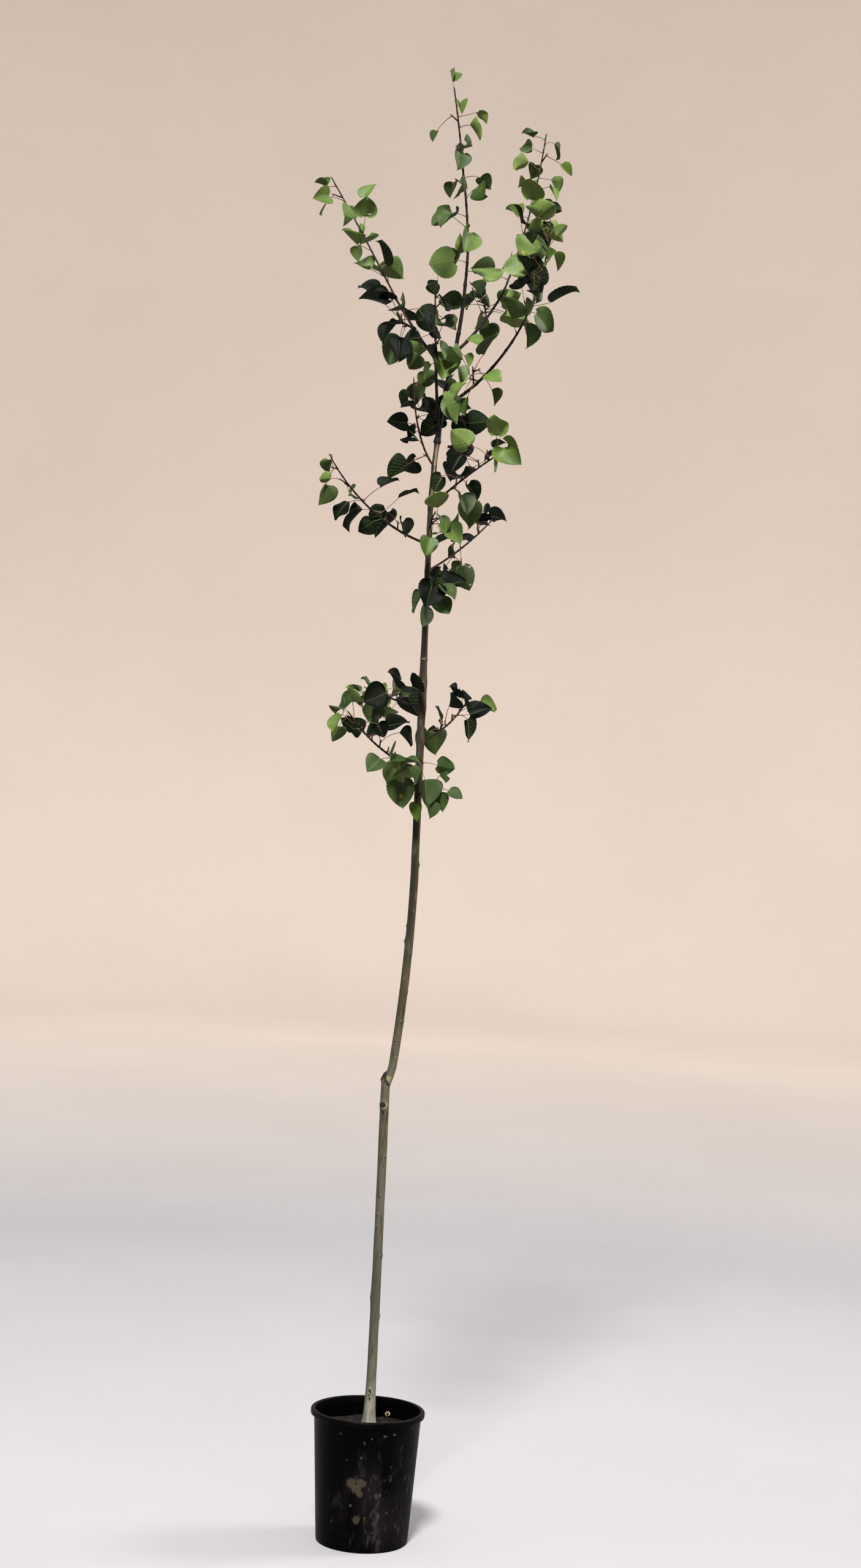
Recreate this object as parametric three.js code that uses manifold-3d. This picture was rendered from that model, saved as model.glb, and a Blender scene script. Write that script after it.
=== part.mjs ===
// Potted young quaking aspen: a tapering trunk with a leader and three boughs, leafy masses on side shoots,
// and a round nursery pot filled with potting mix. Millimetres, +Z up, origin at the centre of the underside.
import * as THREE from 'three';
import Module from 'manifold-3d';
import { mergeVertices } from 'three/addons/utils/BufferGeometryUtils.js';

const wasm = await Module();
wasm.setup();

// Pot sizes
const POT_HEIGHT = 214;
const POT_RIM_RADIUS = 93;
const POT_TOP_RADIUS = 88;
const POT_BASE_RADIUS = 75;
const POT_WALL = 2.4;
const POT_FLOOR = 3;
const POT_LIP_HEIGHT = 9;
const POT_SIDES = 32;
const DRAIN_HOLES = 6;
const DRAIN_RADIUS = 6;
const DRAIN_RING = 56;
const DRAIN_SIDES = 8;

// Potting mix and the clear gap kept between touching pieces
const MIX_LEVEL = 185;
const MIX_EDGE_DROP = 3;
const MIX_EDGE_WIDTH = 22;
const GAP = 0.3;

// Shortest stretch of a limb between its foot and its next ring
const FOOT_ROOM = 2;

// Trunk: foot, heading, and runs as [length, rise at the start, rise at the end] in degrees
const TRUNK_FOOT = [2.6, 0, MIX_LEVEL + GAP];
const TRUNK_RUNS = [
  [561, 89.7, 90.6],
  [28, 62, 76],
  [310, 83.3, 89.3],
  [365, 90.4, 90.5],
  [255, 90.5, 90.4],
  [93, 88, 85],
];
const TRUNK_GIRTH = [
  [185, 25], [196, 20.5], [240, 17.2], [290, 15.5], [405, 15.4], [530, 14.6], [720, 14.8], [772, 13.6],
  [930, 14], [1000, 13.4], [1150, 12.6], [1320, 12.4], [1392, 14.2], [1420, 12], [1460, 10.6], [1620, 9.4],
  [1740, 8.2], [1800, 8],
];
const TRUNK_SIDES = 12;
const BOUGH_SIDES = 8;
const SHOOT_SIDES = 5;
const SPUR_SIDES = 3;
const TRUNK_STEP = 56;
const BOUGH_STEP = 26;
const SHOOT_STEP = 24;
const ROOT_LOBES = 4;
const ROOT_LOBE_DEPTH = 0.14;
const ROOT_LOBE_START = 0.6;
const ROOT_FLARE_HEIGHT = 30;
const ROOT_RINGS = [6, 14, 26];

// Pruned stub beside the kink, and old scars as [height, side in degrees, width]
const STUB = { height: 738, heading: 158, run: [26, 80, 84], foot: 12.5, tip: 10 };
const SCARS = [
  [236, 262, 9], [399, 200, 10], [462, 290, 10], [712, 268, 12], [984, 195, 8], [1364, 250, 9],
];
const SCAR_SIDES = 6;
const SCAR_RISE = 1;
const SCAR_FACE = 0.6;

// Leader and boughs, each as one tapering limb
const LIMBS = [
  { name: 'leader', on: 'trunk', tipwise: true, heading: 0, girth: [8, 4.5],
    runs: [[150, 86, 78], [110, 80, 88]] },
  { name: 'bough_left', on: 'leader', height: 1812, heading: 260, girth: [4.6, 4],
    runs: [[124, 55, 67]], then: { heading: 145, girth: [4, 3.2], runs: [[131, 47, 54]] } },
  { name: 'bough_right_low', on: 'leader', height: 1852, heading: -40, girth: [5, 3.4],
    runs: [[168, 20, 50]] },
  { name: 'bough_right_high', on: 'leader', height: 1942, heading: 42, girth: [4.8, 3.2],
    runs: [[157, 40, 58]] },
];

// Shoots of the leafy masses. from: where the first leaves stand along the shoot, sprays: their number,
// spray: leaves of each, spur: length of the twig that carries them, leaf: blade length at the shoot's foot
// and at its tip, reach: how far the leaves may stand out from the shoot, seed: starts the mass's dice
const SHOOTS = [
  {
    name: 'crown_top', on: 'leader', tipwise: true, heading: 0, girth: [4.4, 2.2],
    runs: [[60, 86.5, 90.5], [130, 93, 100], [132, 97.5, 100.5]],
    from: 0.03, sprays: 8, spray: 2, spur: 0, leaf: [46, 26], reach: 84, seed: 567,
  },
  {
    name: 'crown_leader_front', on: 'leader', height: 1922, heading: 262, girth: [2.8, 2.2],
    runs: [[34, 15, 40]],
    from: 0.3, sprays: 3, spray: 2, spur: 6, leaf: [38, 34], reach: 84, seed: 941,
  },
  {
    name: 'crown_leader_low', on: 'leader', height: 1832, heading: 20, girth: [2.8, 2.2],
    runs: [[30, 10, 40]],
    from: 0.3, sprays: 4, spray: 2, spur: 6, leaf: [40, 36], reach: 84, seed: 277,
  },
  {
    name: 'crown_left_high', on: 'bough_left', tipwise: true, heading: 145, girth: [3, 2],
    runs: [[258, 57, 54]],
    from: 0.04, sprays: 6, spray: 2, spur: 0, leaf: [44, 28], reach: 84, seed: 925,
  },
  {
    name: 'crown_left_mid', on: 'bough_left', height: 1972, heading: 200, girth: [2.6, 2.2],
    runs: [[30, 30, 10]],
    from: 0.3, sprays: 4, spray: 2, spur: 8, leaf: [44, 38], reach: 84, seed: 702,
  },
  {
    name: 'crown_front', on: 'bough_left', height: 1905, heading: 258, girth: [2.8, 2],
    runs: [[128, 68, 80]],
    from: 0.12, sprays: 4, spray: 2, spur: 3, leaf: [38, 30], reach: 84, seed: 715,
  },
  {
    name: 'crown_back_left', on: 'trunk', height: 1755, heading: 115, girth: [3.2, 2],
    runs: [[190, 31, 84]],
    from: 0.1, sprays: 6, spray: 2, spur: 4, leaf: [42, 34], reach: 84, seed: 370,
  },
  {
    name: 'crown_right_high', on: 'bough_right_high', tipwise: true, heading: 42, girth: [3.1, 2],
    runs: [[288, 66, 82]],
    from: 0.04, sprays: 10, spray: 2, spur: 0, leaf: [46, 28], reach: 84, seed: 543,
  },
  {
    name: 'crown_right_back', on: 'bough_right_high', height: 2010, heading: 95, girth: [2.6, 2],
    runs: [[60, 30, 55]],
    from: 0.3, sprays: 4, spray: 2, spur: 5, leaf: [42, 34], reach: 84, seed: 819,
  },
  {
    name: 'crown_right_low', on: 'bough_right_low', tipwise: true, heading: -40, girth: [3.3, 2],
    runs: [[204, 50, 91]],
    from: 0.06, sprays: 8, spray: 2, spur: 0, leaf: [44, 30], reach: 84, seed: 645,
  },
  {
    name: 'crown_right_front', on: 'bough_right_low', height: 1884, heading: -95, girth: [2.6, 2],
    runs: [[44, 20, 40]],
    from: 0.3, sprays: 3, spray: 2, spur: 6, leaf: [42, 36], reach: 84, seed: 839,
  },
  {
    name: 'side_right_high', on: 'trunk', height: 1690, heading: -48, girth: [3.6, 2],
    runs: [[189, 31, 20]],
    from: 0.2, sprays: 6, spray: 2, spur: 8, leaf: [42, 34], reach: 84, seed: 82,
  },
  {
    name: 'side_left_high', on: 'trunk', height: 1628, heading: 212, girth: [4, 2],
    runs: [[228, 11, 53]],
    from: 0.2, sprays: 5, spray: 2, spur: 8, leaf: [46, 32], reach: 84, seed: 940,
  },
  {
    name: 'side_front_high', on: 'trunk', height: 1655, heading: 275, girth: [2.8, 2.2],
    runs: [[36, 15, 30]],
    from: 0.4, sprays: 2, spray: 2, spur: 8, leaf: [44, 38], reach: 84, seed: 886,
  },
  {
    name: 'side_right_mid', on: 'trunk', height: 1585, heading: 48, girth: [3.6, 2],
    runs: [[180, 26, 40]],
    from: 0.3, sprays: 5, spray: 2, spur: 8, leaf: [42, 34], reach: 84, seed: 352,
  },
  {
    name: 'side_front_mid', on: 'trunk', height: 1545, heading: 285, girth: [2.8, 2.2],
    runs: [[32, 15, 30]],
    from: 0.5, sprays: 3, spray: 2, spur: 6, leaf: [42, 38], reach: 84, seed: 478,
  },
  {
    name: 'side_left_mid', on: 'trunk', height: 1362, heading: 142, girth: [3.4, 2],
    runs: [[124, 9, 19]],
    from: 0.25, sprays: 6, spray: 2, spur: 8, leaf: [42, 32], reach: 84, seed: 652,
  },
  {
    name: 'side_right_low', on: 'trunk', height: 1307, heading: 42, girth: [3.4, 2],
    runs: [[119, 17, 53]],
    from: 0.3, sprays: 5, spray: 2, spur: 6, leaf: [40, 32], reach: 84, seed: 922,
  },
  {
    name: 'side_left_low', on: 'trunk', height: 1260, heading: 218, girth: [3.8, 2],
    runs: [[172, 12, 48]],
    from: 0.15, sprays: 8, spray: 2, spur: 8, leaf: [44, 32], reach: 84, seed: 875,
  },
  {
    name: 'side_front_low', on: 'trunk', height: 1270, heading: 268, girth: [2.8, 2.2],
    runs: [[34, 5, 25]],
    from: 0.3, sprays: 3, spray: 2, spur: 8, leaf: [46, 38], reach: 84, seed: 72,
  },
  {
    name: 'side_lowest', on: 'trunk', height: 1219, heading: -62, girth: [3, 2.2],
    runs: [[42, 6, 40]],
    from: 0.3, sprays: 2, spray: 2, spur: 4, leaf: [36, 30], reach: 84, seed: 839,
  },
];

// Leaf rule: stalks, blades, spurs and the places along a shoot
const SEED_STEP = 40;
const TURN = 137.5;
const STALK_LENGTH = [13, 40];
const STALK_LEAN = [35, 80];
const STALK_SAG = [-0.2, 0.9];
const STALK_RADIUS = 0.95;
const BLADE_DROOP = [-0.8, 1.7];
const BLADE_SCALE = [0.78, 1.2];
const BLADE_WIDTH = [0.92, 1.06];
const BLADE_ROLL = 85;
const BLADE_FOLD = [4, 34];
const BLADE_CURL = [-0.04, 0.2];
const BLADE_THICKNESS = 1.1;
const BLADE_STATIONS = [0.1, 0.42, 0.78];
const SPINE_STATIONS = [0.25, 0.62];
const BLADE_SPREAD = 1.05;
const BASE_POWER = 0.5;
const TIP_POWER = 0.72;
const LAST_NODE = 0.985;
const NODE_SPREAD = 0.7;
const TURN_SPREAD = 120;
const LEAF_TRIES = 5;
const SPUR_SCALE = [0.7, 1.3];
const SPUR_AHEAD = 0.6;
const SPUR_RISE = 0.3;
const SPUR_FLARE = 1.2;
const SPUR_END = 1.2;
const SPUR_NODE = 1.1;
const DROOP_RELIEF = 0.45;

// Clearance that the rule keeps, and how far away another leaf or a limb can matter
const CLEAR_LEAF = 7;
const CLEAR_LIMB = 6;
const LOWEST_LEAF = 1090;
const NEAR_LEAF = 120;
const NEAR_LIMB = 70;
const SAMPLE_STEP = 6;

// Colours, roughness and metalness of the materials
const material = (name, color, roughness) => {
  const made = new THREE.MeshStandardMaterial({ color, roughness, metalness: 0 });
  made.name = name;
  return made;
};
const BARK = material('bark', 0x6b6550, 0.8);
const BARK_DARK = material('young_bark', 0x3a3022, 0.65);
const FOLIAGE = material('foliage', 0x55702a, 0.5);
const PLASTIC = material('black_plastic', 0x1b1b1d, 0.55);
const MIX = material('potting_mix', 0x1d1510, 0.95);

// Plain vector arithmetic
const RAD = Math.PI / 180;
const add = (a, b) => [a[0] + b[0], a[1] + b[1], a[2] + b[2]];
const sub = (a, b) => [a[0] - b[0], a[1] - b[1], a[2] - b[2]];
const mul = (a, k) => [a[0] * k, a[1] * k, a[2] * k];
const dot = (a, b) => a[0] * b[0] + a[1] * b[1] + a[2] * b[2];
const cross = (a, b) => [a[1] * b[2] - a[2] * b[1], a[2] * b[0] - a[0] * b[2], a[0] * b[1] - a[1] * b[0]];
const unit = (a) => mul(a, 1 / Math.sqrt(dot(a, a)));
const along = (a, b, t) => a + (b - a) * t;

// Random numbers between 0 and 1 from a whole-number seed
function dice(seed) {
  let state = (seed * 7919) % 2147483647;
  const roll = () => {
    state = (state * 48271) % 2147483647;
    return state / 2147483647;
  };
  roll();
  roll();
  return roll;
}

// Centre line of a limb: stations with point, direction, and share of the length
function centreLine(foot, heading, runs, step) {
  const total = runs.reduce((sum, run) => sum + run[0], 0);
  const stations = [];
  const side = [-Math.sin(heading * RAD), Math.cos(heading * RAD), 0];
  let point = foot;
  let walked = 0;
  for (const [length, start, end] of runs) {
    const pieces = Math.max(2, Math.round(length / step));
    for (let i = 0; i < pieces; i += 1) {
      const rise = along(start, end, (i + 0.5) / pieces) * RAD;
      const flat = Math.cos(rise);
      const ahead = [flat * Math.cos(heading * RAD), flat * Math.sin(heading * RAD), Math.sin(rise)];
      if (stations.length === 0) {
        stations.push({ point, ahead, side, share: 0 });
      }
      point = add(point, mul(ahead, length / pieces));
      walked += length / pieces;
      stations.push({ point, ahead, side, share: walked / total });
    }
  }
  return { stations, total };
}

// Station at a height or at a share of the length
function stationAt(line, key, value) {
  const read = key === 'height' ? (s) => s.point[2] : (s) => s.share;
  let i = 1;
  while (i < line.stations.length - 1 && read(line.stations[i]) < value) {
    i += 1;
  }
  const a = line.stations[i - 1];
  const b = line.stations[i];
  const t = Math.min(1, Math.max(0, (value - read(a)) / (read(b) - read(a))));
  const point = add(a.point, mul(sub(b.point, a.point), t));
  const share = along(a.share, b.share, t);
  return { point, ahead: b.ahead, side: b.side, share, radius: along(a.radius, b.radius, t) };
}

// Radii from a girth that tapers from foot to tip
function taper(line, girth) {
  for (const station of line.stations) {
    station.radius = along(girth[0], girth[1], station.share) / 2;
  }
}

// Radii from a list of [height, diameter]
function taperByHeight(line, rows) {
  for (const station of line.stations) {
    const z = station.point[2];
    let k = 1;
    while (k < rows.length - 1 && rows[k][0] < z) {
      k += 1;
    }
    const t = Math.min(1, Math.max(0, (z - rows[k - 1][0]) / (rows[k][0] - rows[k - 1][0])));
    station.radius = along(rows[k - 1][1], rows[k][1], t) / 2;
  }
}

// A limb on its parent: at the parent's tip, or out of its side where the foot is cut to the parent's surface
function limbOn(parents, row, step) {
  const parent = parents[row.on];
  if (row.tipwise) {
    const tip = parent.stations[parent.stations.length - 1];
    const line = centreLine(add(tip.point, mul(tip.ahead, GAP)), row.heading, row.runs, step);
    line.cut = tip.ahead;
    taper(line, row.girth);
    return line;
  }
  const at = stationAt(parent, 'height', row.height);
  const line = centreLine(at.point, row.heading, row.runs, step);
  taper(line, row.girth);
  const ahead = line.stations[0].ahead;
  const out = unit(sub(ahead, mul(at.ahead, dot(ahead, at.ahead))));
  const reach = (at.radius + GAP) / dot(out, ahead);
  const kept = line.stations.filter((s) => s.share * line.total > reach + FOOT_ROOM);
  const foot = { ...line.stations[0], point: add(at.point, mul(ahead, reach)), share: reach / line.total };
  line.stations = [foot, ...kept];
  line.cut = out;
  return line;
}

// Joins a second part onto a limb that changes its heading
function lengthen(line, row, step) {
  const tip = line.stations[line.stations.length - 1];
  const more = centreLine(tip.point, row.heading, row.runs, step);
  taper(more, row.girth);
  const total = line.total + more.total;
  for (const station of line.stations) {
    station.share *= line.total / total;
  }
  for (const station of more.stations.slice(1)) {
    line.stations.push({ ...station, share: (line.total + station.share * more.total) / total });
  }
  line.total = total;
}

// All limb lines of the plant
function growLimbs() {
  const lines = {};
  lines.trunk = centreLine(TRUNK_FOOT, 0, TRUNK_RUNS, TRUNK_STEP);
  taperByHeight(lines.trunk, TRUNK_GIRTH);
  for (const row of LIMBS) {
    lines[row.name] = limbOn(lines, row, BOUGH_STEP);
    if (row.then) {
      lengthen(lines[row.name], row.then, BOUGH_STEP);
    }
  }
  for (const row of SHOOTS) {
    lines[row.name] = limbOn(lines, row, SHOOT_STEP);
  }
  return lines;
}

// Half width of a blade at a share of its length
function halfWidth(share) {
  const peak = BASE_POWER / (BASE_POWER + TIP_POWER);
  const top = Math.pow(peak, BASE_POWER) * Math.pow(1 - peak, TIP_POWER);
  return 0.5 * Math.pow(share, BASE_POWER) * Math.pow(1 - share, TIP_POWER) / top;
}

// Point of a blade: share along the midrib, and how far across from -1 to 1
function bladePoint(leaf, share, across) {
  const half = halfWidth(share) * leaf.size * leaf.width * across;
  const bend = -leaf.curl * leaf.size * share * share + Math.abs(half) * Math.sin(leaf.fold);
  const out = add(mul(leaf.rib, leaf.size * share), mul(leaf.across, half * Math.cos(leaf.fold)));
  return add(leaf.base, add(out, mul(leaf.normal, bend)));
}

// One leaf from the rule: a stalk from its foot and a blade at the stalk's end
function growLeaf(foot, axis, azimuth, size, roll) {
  const start = Math.abs(axis[2]) > 0.9 ? [1, 0, 0] : [0, 0, 1];
  const u = unit(cross(axis, start));
  const v = cross(axis, u);
  const out = add(mul(u, Math.cos(azimuth)), mul(v, Math.sin(azimuth)));
  const lean = along(STALK_LEAN[0], STALK_LEAN[1], roll()) * RAD;
  const length = along(STALK_LENGTH[0], STALK_LENGTH[1], roll());
  const sag = along(STALK_SAG[0], STALK_SAG[1], roll());
  const first = unit(add(mul(axis, Math.cos(lean)), mul(out, Math.sin(lean))));
  const last = unit(add(first, [0, 0, -sag]));
  const middle = add(foot, mul(first, length * 0.5));
  const base = add(middle, mul(last, length * 0.5));
  const droop = along(BLADE_DROOP[0], BLADE_DROOP[1], roll());
  const rib = unit(add(last, [0, 0, -droop * (1 - DROOP_RELIEF * Math.max(0, last[2]))]));
  const flat = unit(cross(rib, Math.abs(rib[2]) > 0.98 ? out : [0, 0, 1]));
  const up = cross(flat, rib);
  const twist = along(-BLADE_ROLL, BLADE_ROLL, roll()) * RAD;
  const across = add(mul(flat, Math.cos(twist)), mul(up, Math.sin(twist)));
  const normal = cross(across, rib);
  const leaf = { foot, middle, base, last, rib, across, normal };
  leaf.size = size * along(BLADE_SCALE[0], BLADE_SCALE[1], roll());
  leaf.width = along(BLADE_WIDTH[0], BLADE_WIDTH[1], roll());
  leaf.fold = along(BLADE_FOLD[0], BLADE_FOLD[1], roll()) * RAD;
  leaf.curl = along(BLADE_CURL[0], BLADE_CURL[1], roll());
  return leaf;
}

// Twig that carries a spray off the side of its shoot
function growSpur(row, at, turn, roll) {
  const u = at.side;
  const v = cross(at.ahead, u);
  const out = add(mul(u, Math.cos(turn * RAD)), mul(v, Math.sin(turn * RAD)));
  const axis = unit(add(mul(at.ahead, SPUR_AHEAD), add(out, [0, 0, SPUR_RISE])));
  const length = at.radius + row.spur * along(SPUR_SCALE[0], SPUR_SCALE[1], roll());
  return { foot: at.point, tip: add(at.point, mul(axis, length)), axis };
}

// One spray: its spur, if the shoot has them, and its leaves, each tried a few times until it finds room
function growSpray(row, line, index, room) {
  const roll = dice(row.seed * SEED_STEP + index);
  const pitch = (1 - row.from) / row.sprays;
  const turn = roll() * 360;
  const middle = stationAt(line, 'share', row.from + pitch * (index + 0.5));
  const spur = row.spur > 0 ? growSpur(row, middle, turn, roll) : null;
  const leaves = [];
  for (let k = 0; k < row.spray; k += 1) {
    const place = index + (k + along(0.5, roll(), NODE_SPREAD)) / row.spray;
    const share = Math.min(LAST_NODE, row.from + pitch * place);
    const node = stationAt(line, 'share', share);
    const foot = spur ? sub(spur.tip, mul(spur.axis, SPUR_END + k * SPUR_NODE)) : node.point;
    const axis = spur ? spur.axis : node.ahead;
    const size = along(row.leaf[0], row.leaf[1], share);
    for (let attempt = 0; attempt < LEAF_TRIES; attempt += 1) {
      const azimuth = (turn + (k + attempt) * TURN + (roll() - 0.5) * TURN_SPREAD) * RAD;
      const leaf = growLeaf(foot, axis, azimuth, size, roll);
      if (room.takes(leaf, row)) {
        leaves.push(leaf);
        break;
      }
    }
  }
  return { spur, leaves };
}

// Points of a leaf that are tested for clearance, the blade's middle first
function leafPoints(leaf) {
  const points = [bladePoint(leaf, 0.5, 0), leaf.middle, leaf.base, bladePoint(leaf, 0.04, 0)];
  for (const share of [0.25, 0.5, 0.75]) {
    for (const across of [-1, -0.5, 0.5, 1]) {
      points.push(bladePoint(leaf, share, across));
    }
  }
  points.push(bladePoint(leaf, 0.25, 0), bladePoint(leaf, 0.75, 0), bladePoint(leaf, 0.97, 0));
  return points;
}

// Points along a limb, close enough together for the clearance test
function limbSamples(line) {
  const samples = [];
  for (let i = 1; i < line.stations.length; i += 1) {
    const a = line.stations[i - 1];
    const b = line.stations[i];
    const step = sub(b.point, a.point);
    const pieces = Math.ceil(Math.sqrt(dot(step, step)) / SAMPLE_STEP);
    for (let k = 1; k <= pieces; k += 1) {
      const t = k / pieces;
      samples.push({ point: add(a.point, mul(step, t)), radius: along(a.radius, b.radius, t) });
    }
  }
  return samples;
}

// Whether two points are closer than a distance
function isNear(p, q, distance) {
  const d = sub(p, q);
  return dot(d, d) < distance * distance;
}

// Room for leaves: within their mass's reach, clear of the limbs and of the leaves already taken in
class Room {
  constructor(lines) {
    this.samples = {};
    for (const [name, line] of Object.entries(lines)) {
      this.samples[name] = limbSamples(line);
    }
    this.limbs = Object.values(this.samples).flat();
    this.leaves = [];
  }

  takes(leaf, row) {
    const points = leafPoints(leaf);
    const own = this.samples[row.name];
    const inReach = (p) => p[2] > LOWEST_LEAF && own.some((s) => isNear(p, s.point, row.reach));
    if (!points.every(inReach)) {
      return false;
    }
    const limbs = this.limbs.filter((s) => isNear(s.point, points[0], NEAR_LIMB));
    const touches = (s) => points.some((p) => isNear(p, s.point, CLEAR_LIMB + s.radius));
    if (limbs.some(touches)) {
      return false;
    }
    const others = this.leaves.filter((other) => isNear(other[0], points[0], NEAR_LEAF)).flat();
    if (others.some((q) => points.some((p) => isNear(p, q, CLEAR_LEAF)))) {
      return false;
    }
    this.leaves.push(points);
    return true;
  }
}

// All leafy masses: what the rule grows on each shoot
function growMasses(lines) {
  const room = new Room(lines);
  const masses = {};
  for (const row of SHOOTS) {
    masses[row.name] = [];
    for (let index = 0; index < row.sprays; index += 1) {
      const spray = growSpray(row, lines[row.name], index, room);
      if (spray.leaves.length > 0) {
        masses[row.name].push(spray);
      }
    }
  }
  return masses;
}

// Solids
const solid = (points, triangles) => {
  const mesh = new wasm.Mesh({
    numProp: 3,
    vertProperties: new Float32Array(points.flat()),
    triVerts: new Uint32Array(triangles.flat()),
  });
  return new wasm.Manifold(mesh);
};

// Closed tube through rings of points
function tubeSolid(rings) {
  const sides = rings[0].length;
  const points = rings.flat();
  const triangles = [];
  for (let r = 1; r < rings.length; r += 1) {
    for (let i = 0; i < sides; i += 1) {
      const j = (i + 1) % sides;
      const a = (r - 1) * sides;
      const b = r * sides;
      triangles.push([a + i, a + j, b + j], [a + i, b + j, b + i]);
    }
  }
  const last = (rings.length - 1) * sides;
  for (let i = 1; i < sides - 1; i += 1) {
    triangles.push([0, i + 1, i], [last, last + i, last + i + 1]);
  }
  return solid(points, triangles);
}

// Ring of a tube around a point
function ringAt(point, ahead, side, radius, sides, shape, start = 0) {
  const across = cross(ahead, side);
  const ring = [];
  for (let i = 0; i < sides; i += 1) {
    const angle = start + (i / sides) * 2 * Math.PI;
    const r = radius * (shape ? shape(angle) : 1);
    ring.push(add(point, add(mul(side, r * Math.cos(angle)), mul(across, r * Math.sin(angle)))));
  }
  return ring;
}

// Tube along a limb line, its foot cut to the parent
function limbSolid(line, sides, shape) {
  const rings = line.stations.map((station, index) => {
    const next = line.stations[Math.min(index + 1, line.stations.length - 1)];
    const ahead = index === 0 ? station.ahead : unit(add(station.ahead, next.ahead));
    const flat = unit(sub(station.side, mul(ahead, dot(station.side, ahead))));
    return ringAt(station.point, ahead, flat, station.radius, sides, shape && shape(station));
  });
  if (line.cut) {
    const foot = line.stations[0];
    rings[0] = rings[0].map((p) => {
      const off = dot(sub(p, foot.point), line.cut);
      return sub(p, mul(foot.ahead, off / dot(foot.ahead, line.cut)));
    });
  }
  return tubeSolid(rings);
}

// One closed leaf: a three-sided stalk that opens into a blade with a thick midrib and a fine edge
function leafSolid(leaf) {
  const first = unit(sub(leaf.middle, leaf.foot));
  const rings = [
    [leaf.foot, first, 0.6],
    [leaf.middle, unit(add(first, leaf.last)), 1],
    [leaf.base, unit(add(leaf.last, leaf.rib)), 0.7],
  ].map(([point, ahead, scale]) => {
    const flat = unit(sub(leaf.across, mul(ahead, dot(leaf.across, ahead))));
    return ringAt(point, ahead, flat, STALK_RADIUS * scale, 3, null, -Math.PI / 6);
  });
  const right = BLADE_STATIONS.map((share) => bladePoint(leaf, share, BLADE_SPREAD));
  const left = BLADE_STATIONS.map((share) => bladePoint(leaf, share, -BLADE_SPREAD));
  const half = mul(leaf.normal, BLADE_THICKNESS / 2);
  const top = SPINE_STATIONS.map((share) => add(bladePoint(leaf, share, 0), half));
  const under = SPINE_STATIONS.map((share) => sub(bladePoint(leaf, share, 0), half));
  const points = [...rings.flat(), ...right, ...left, ...top, ...under, bladePoint(leaf, 1, 0)];
  const triangles = [[0, 2, 1]];
  for (const ring of [0, 3]) {
    for (let i = 0; i < 3; i += 1) {
      const j = (i + 1) % 3;
      triangles.push([ring + i, ring + j, ring + 3 + j], [ring + i, ring + 3 + j, ring + 3 + i]);
    }
  }
  const [rightBase, underBase, leftBase] = [6, 7, 8];
  const [r, l, t, u, tip] = [9, 12, 15, 17, 19];
  const halfBlade = (base, rim, spine) => [
    [base, rim, spine],
    [rim, rim + 1, spine],
    [rim + 1, spine + 1, spine],
    [rim + 1, rim + 2, spine + 1],
    [rim + 2, tip, spine + 1],
  ];
  const turn = ([a, b, c]) => [a, c, b];
  triangles.push(...halfBlade(rightBase, r, t), ...halfBlade(leftBase, l, t).map(turn));
  triangles.push(...halfBlade(rightBase, r, u).map(turn), ...halfBlade(leftBase, l, u));
  triangles.push([rightBase, t, leftBase], [underBase, u, rightBase], [leftBase, u, underBase]);
  return solid(points, triangles);
}

// Spur that carries a spray
function spurSolid(spur, radius) {
  const side = unit(cross(spur.axis, Math.abs(spur.axis[2]) > 0.9 ? [1, 0, 0] : [0, 0, 1]));
  return tubeSolid([
    ringAt(spur.foot, spur.axis, side, radius * SPUR_FLARE, SPUR_SIDES),
    ringAt(spur.tip, spur.axis, side, radius, SPUR_SIDES),
  ]);
}

// Keeps the outer shell of a joined solid: loose scraps and sealed hollows go
function outerShell(joined) {
  const mesh = joined.getMesh();
  const { vertProperties: xyz, triVerts, numProp } = mesh;
  const parent = Array.from({ length: xyz.length / numProp }, (_, i) => i);
  const root = (i) => {
    let k = i;
    while (parent[k] !== k) {
      parent[k] = parent[parent[k]];
      k = parent[k];
    }
    return k;
  };
  for (let i = 0; i < triVerts.length; i += 3) {
    parent[root(triVerts[i])] = root(triVerts[i + 1]);
    parent[root(triVerts[i])] = root(triVerts[i + 2]);
  }
  const point = (i) => [xyz[i * numProp], xyz[i * numProp + 1], xyz[i * numProp + 2]];
  const volumes = new Map();
  for (let i = 0; i < triVerts.length; i += 3) {
    const [a, b, c] = [triVerts[i], triVerts[i + 1], triVerts[i + 2]];
    const key = root(a);
    volumes.set(key, (volumes.get(key) || 0) + dot(point(a), cross(point(b), point(c))) / 6);
  }
  const main = [...volumes.entries()].sort((a, b) => b[1] - a[1])[0][0];
  const geometry = new THREE.BufferGeometry();
  const used = [];
  const renumber = new Map();
  const index = [];
  for (let i = 0; i < triVerts.length; i += 1) {
    const v = triVerts[i];
    if (root(v) !== main) {
      continue;
    }
    if (!renumber.has(v)) {
      renumber.set(v, used.length / 3);
      used.push(...point(v));
    }
    index.push(renumber.get(v));
  }
  geometry.setAttribute('position', new THREE.Float32BufferAttribute(used, 3));
  geometry.setIndex(index);
  geometry.computeVertexNormals();
  return geometry;
}

// Low dome for an old scar on the trunk
function scarSolid(line, [height, side, width]) {
  const at = stationAt(line, 'height', height);
  const out = [Math.cos(side * RAD), Math.sin(side * RAD), 0];
  const flat = unit(cross([0, 0, 1], out));
  const centre = add(at.point, mul(out, at.radius / 2));
  const peak = add(at.point, mul(out, at.radius + SCAR_RISE));
  return tubeSolid([
    ringAt(centre, out, flat, width / 2, SCAR_SIDES),
    ringAt(peak, out, flat, (width / 2) * SCAR_FACE, SCAR_SIDES),
  ]);
}

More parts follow.
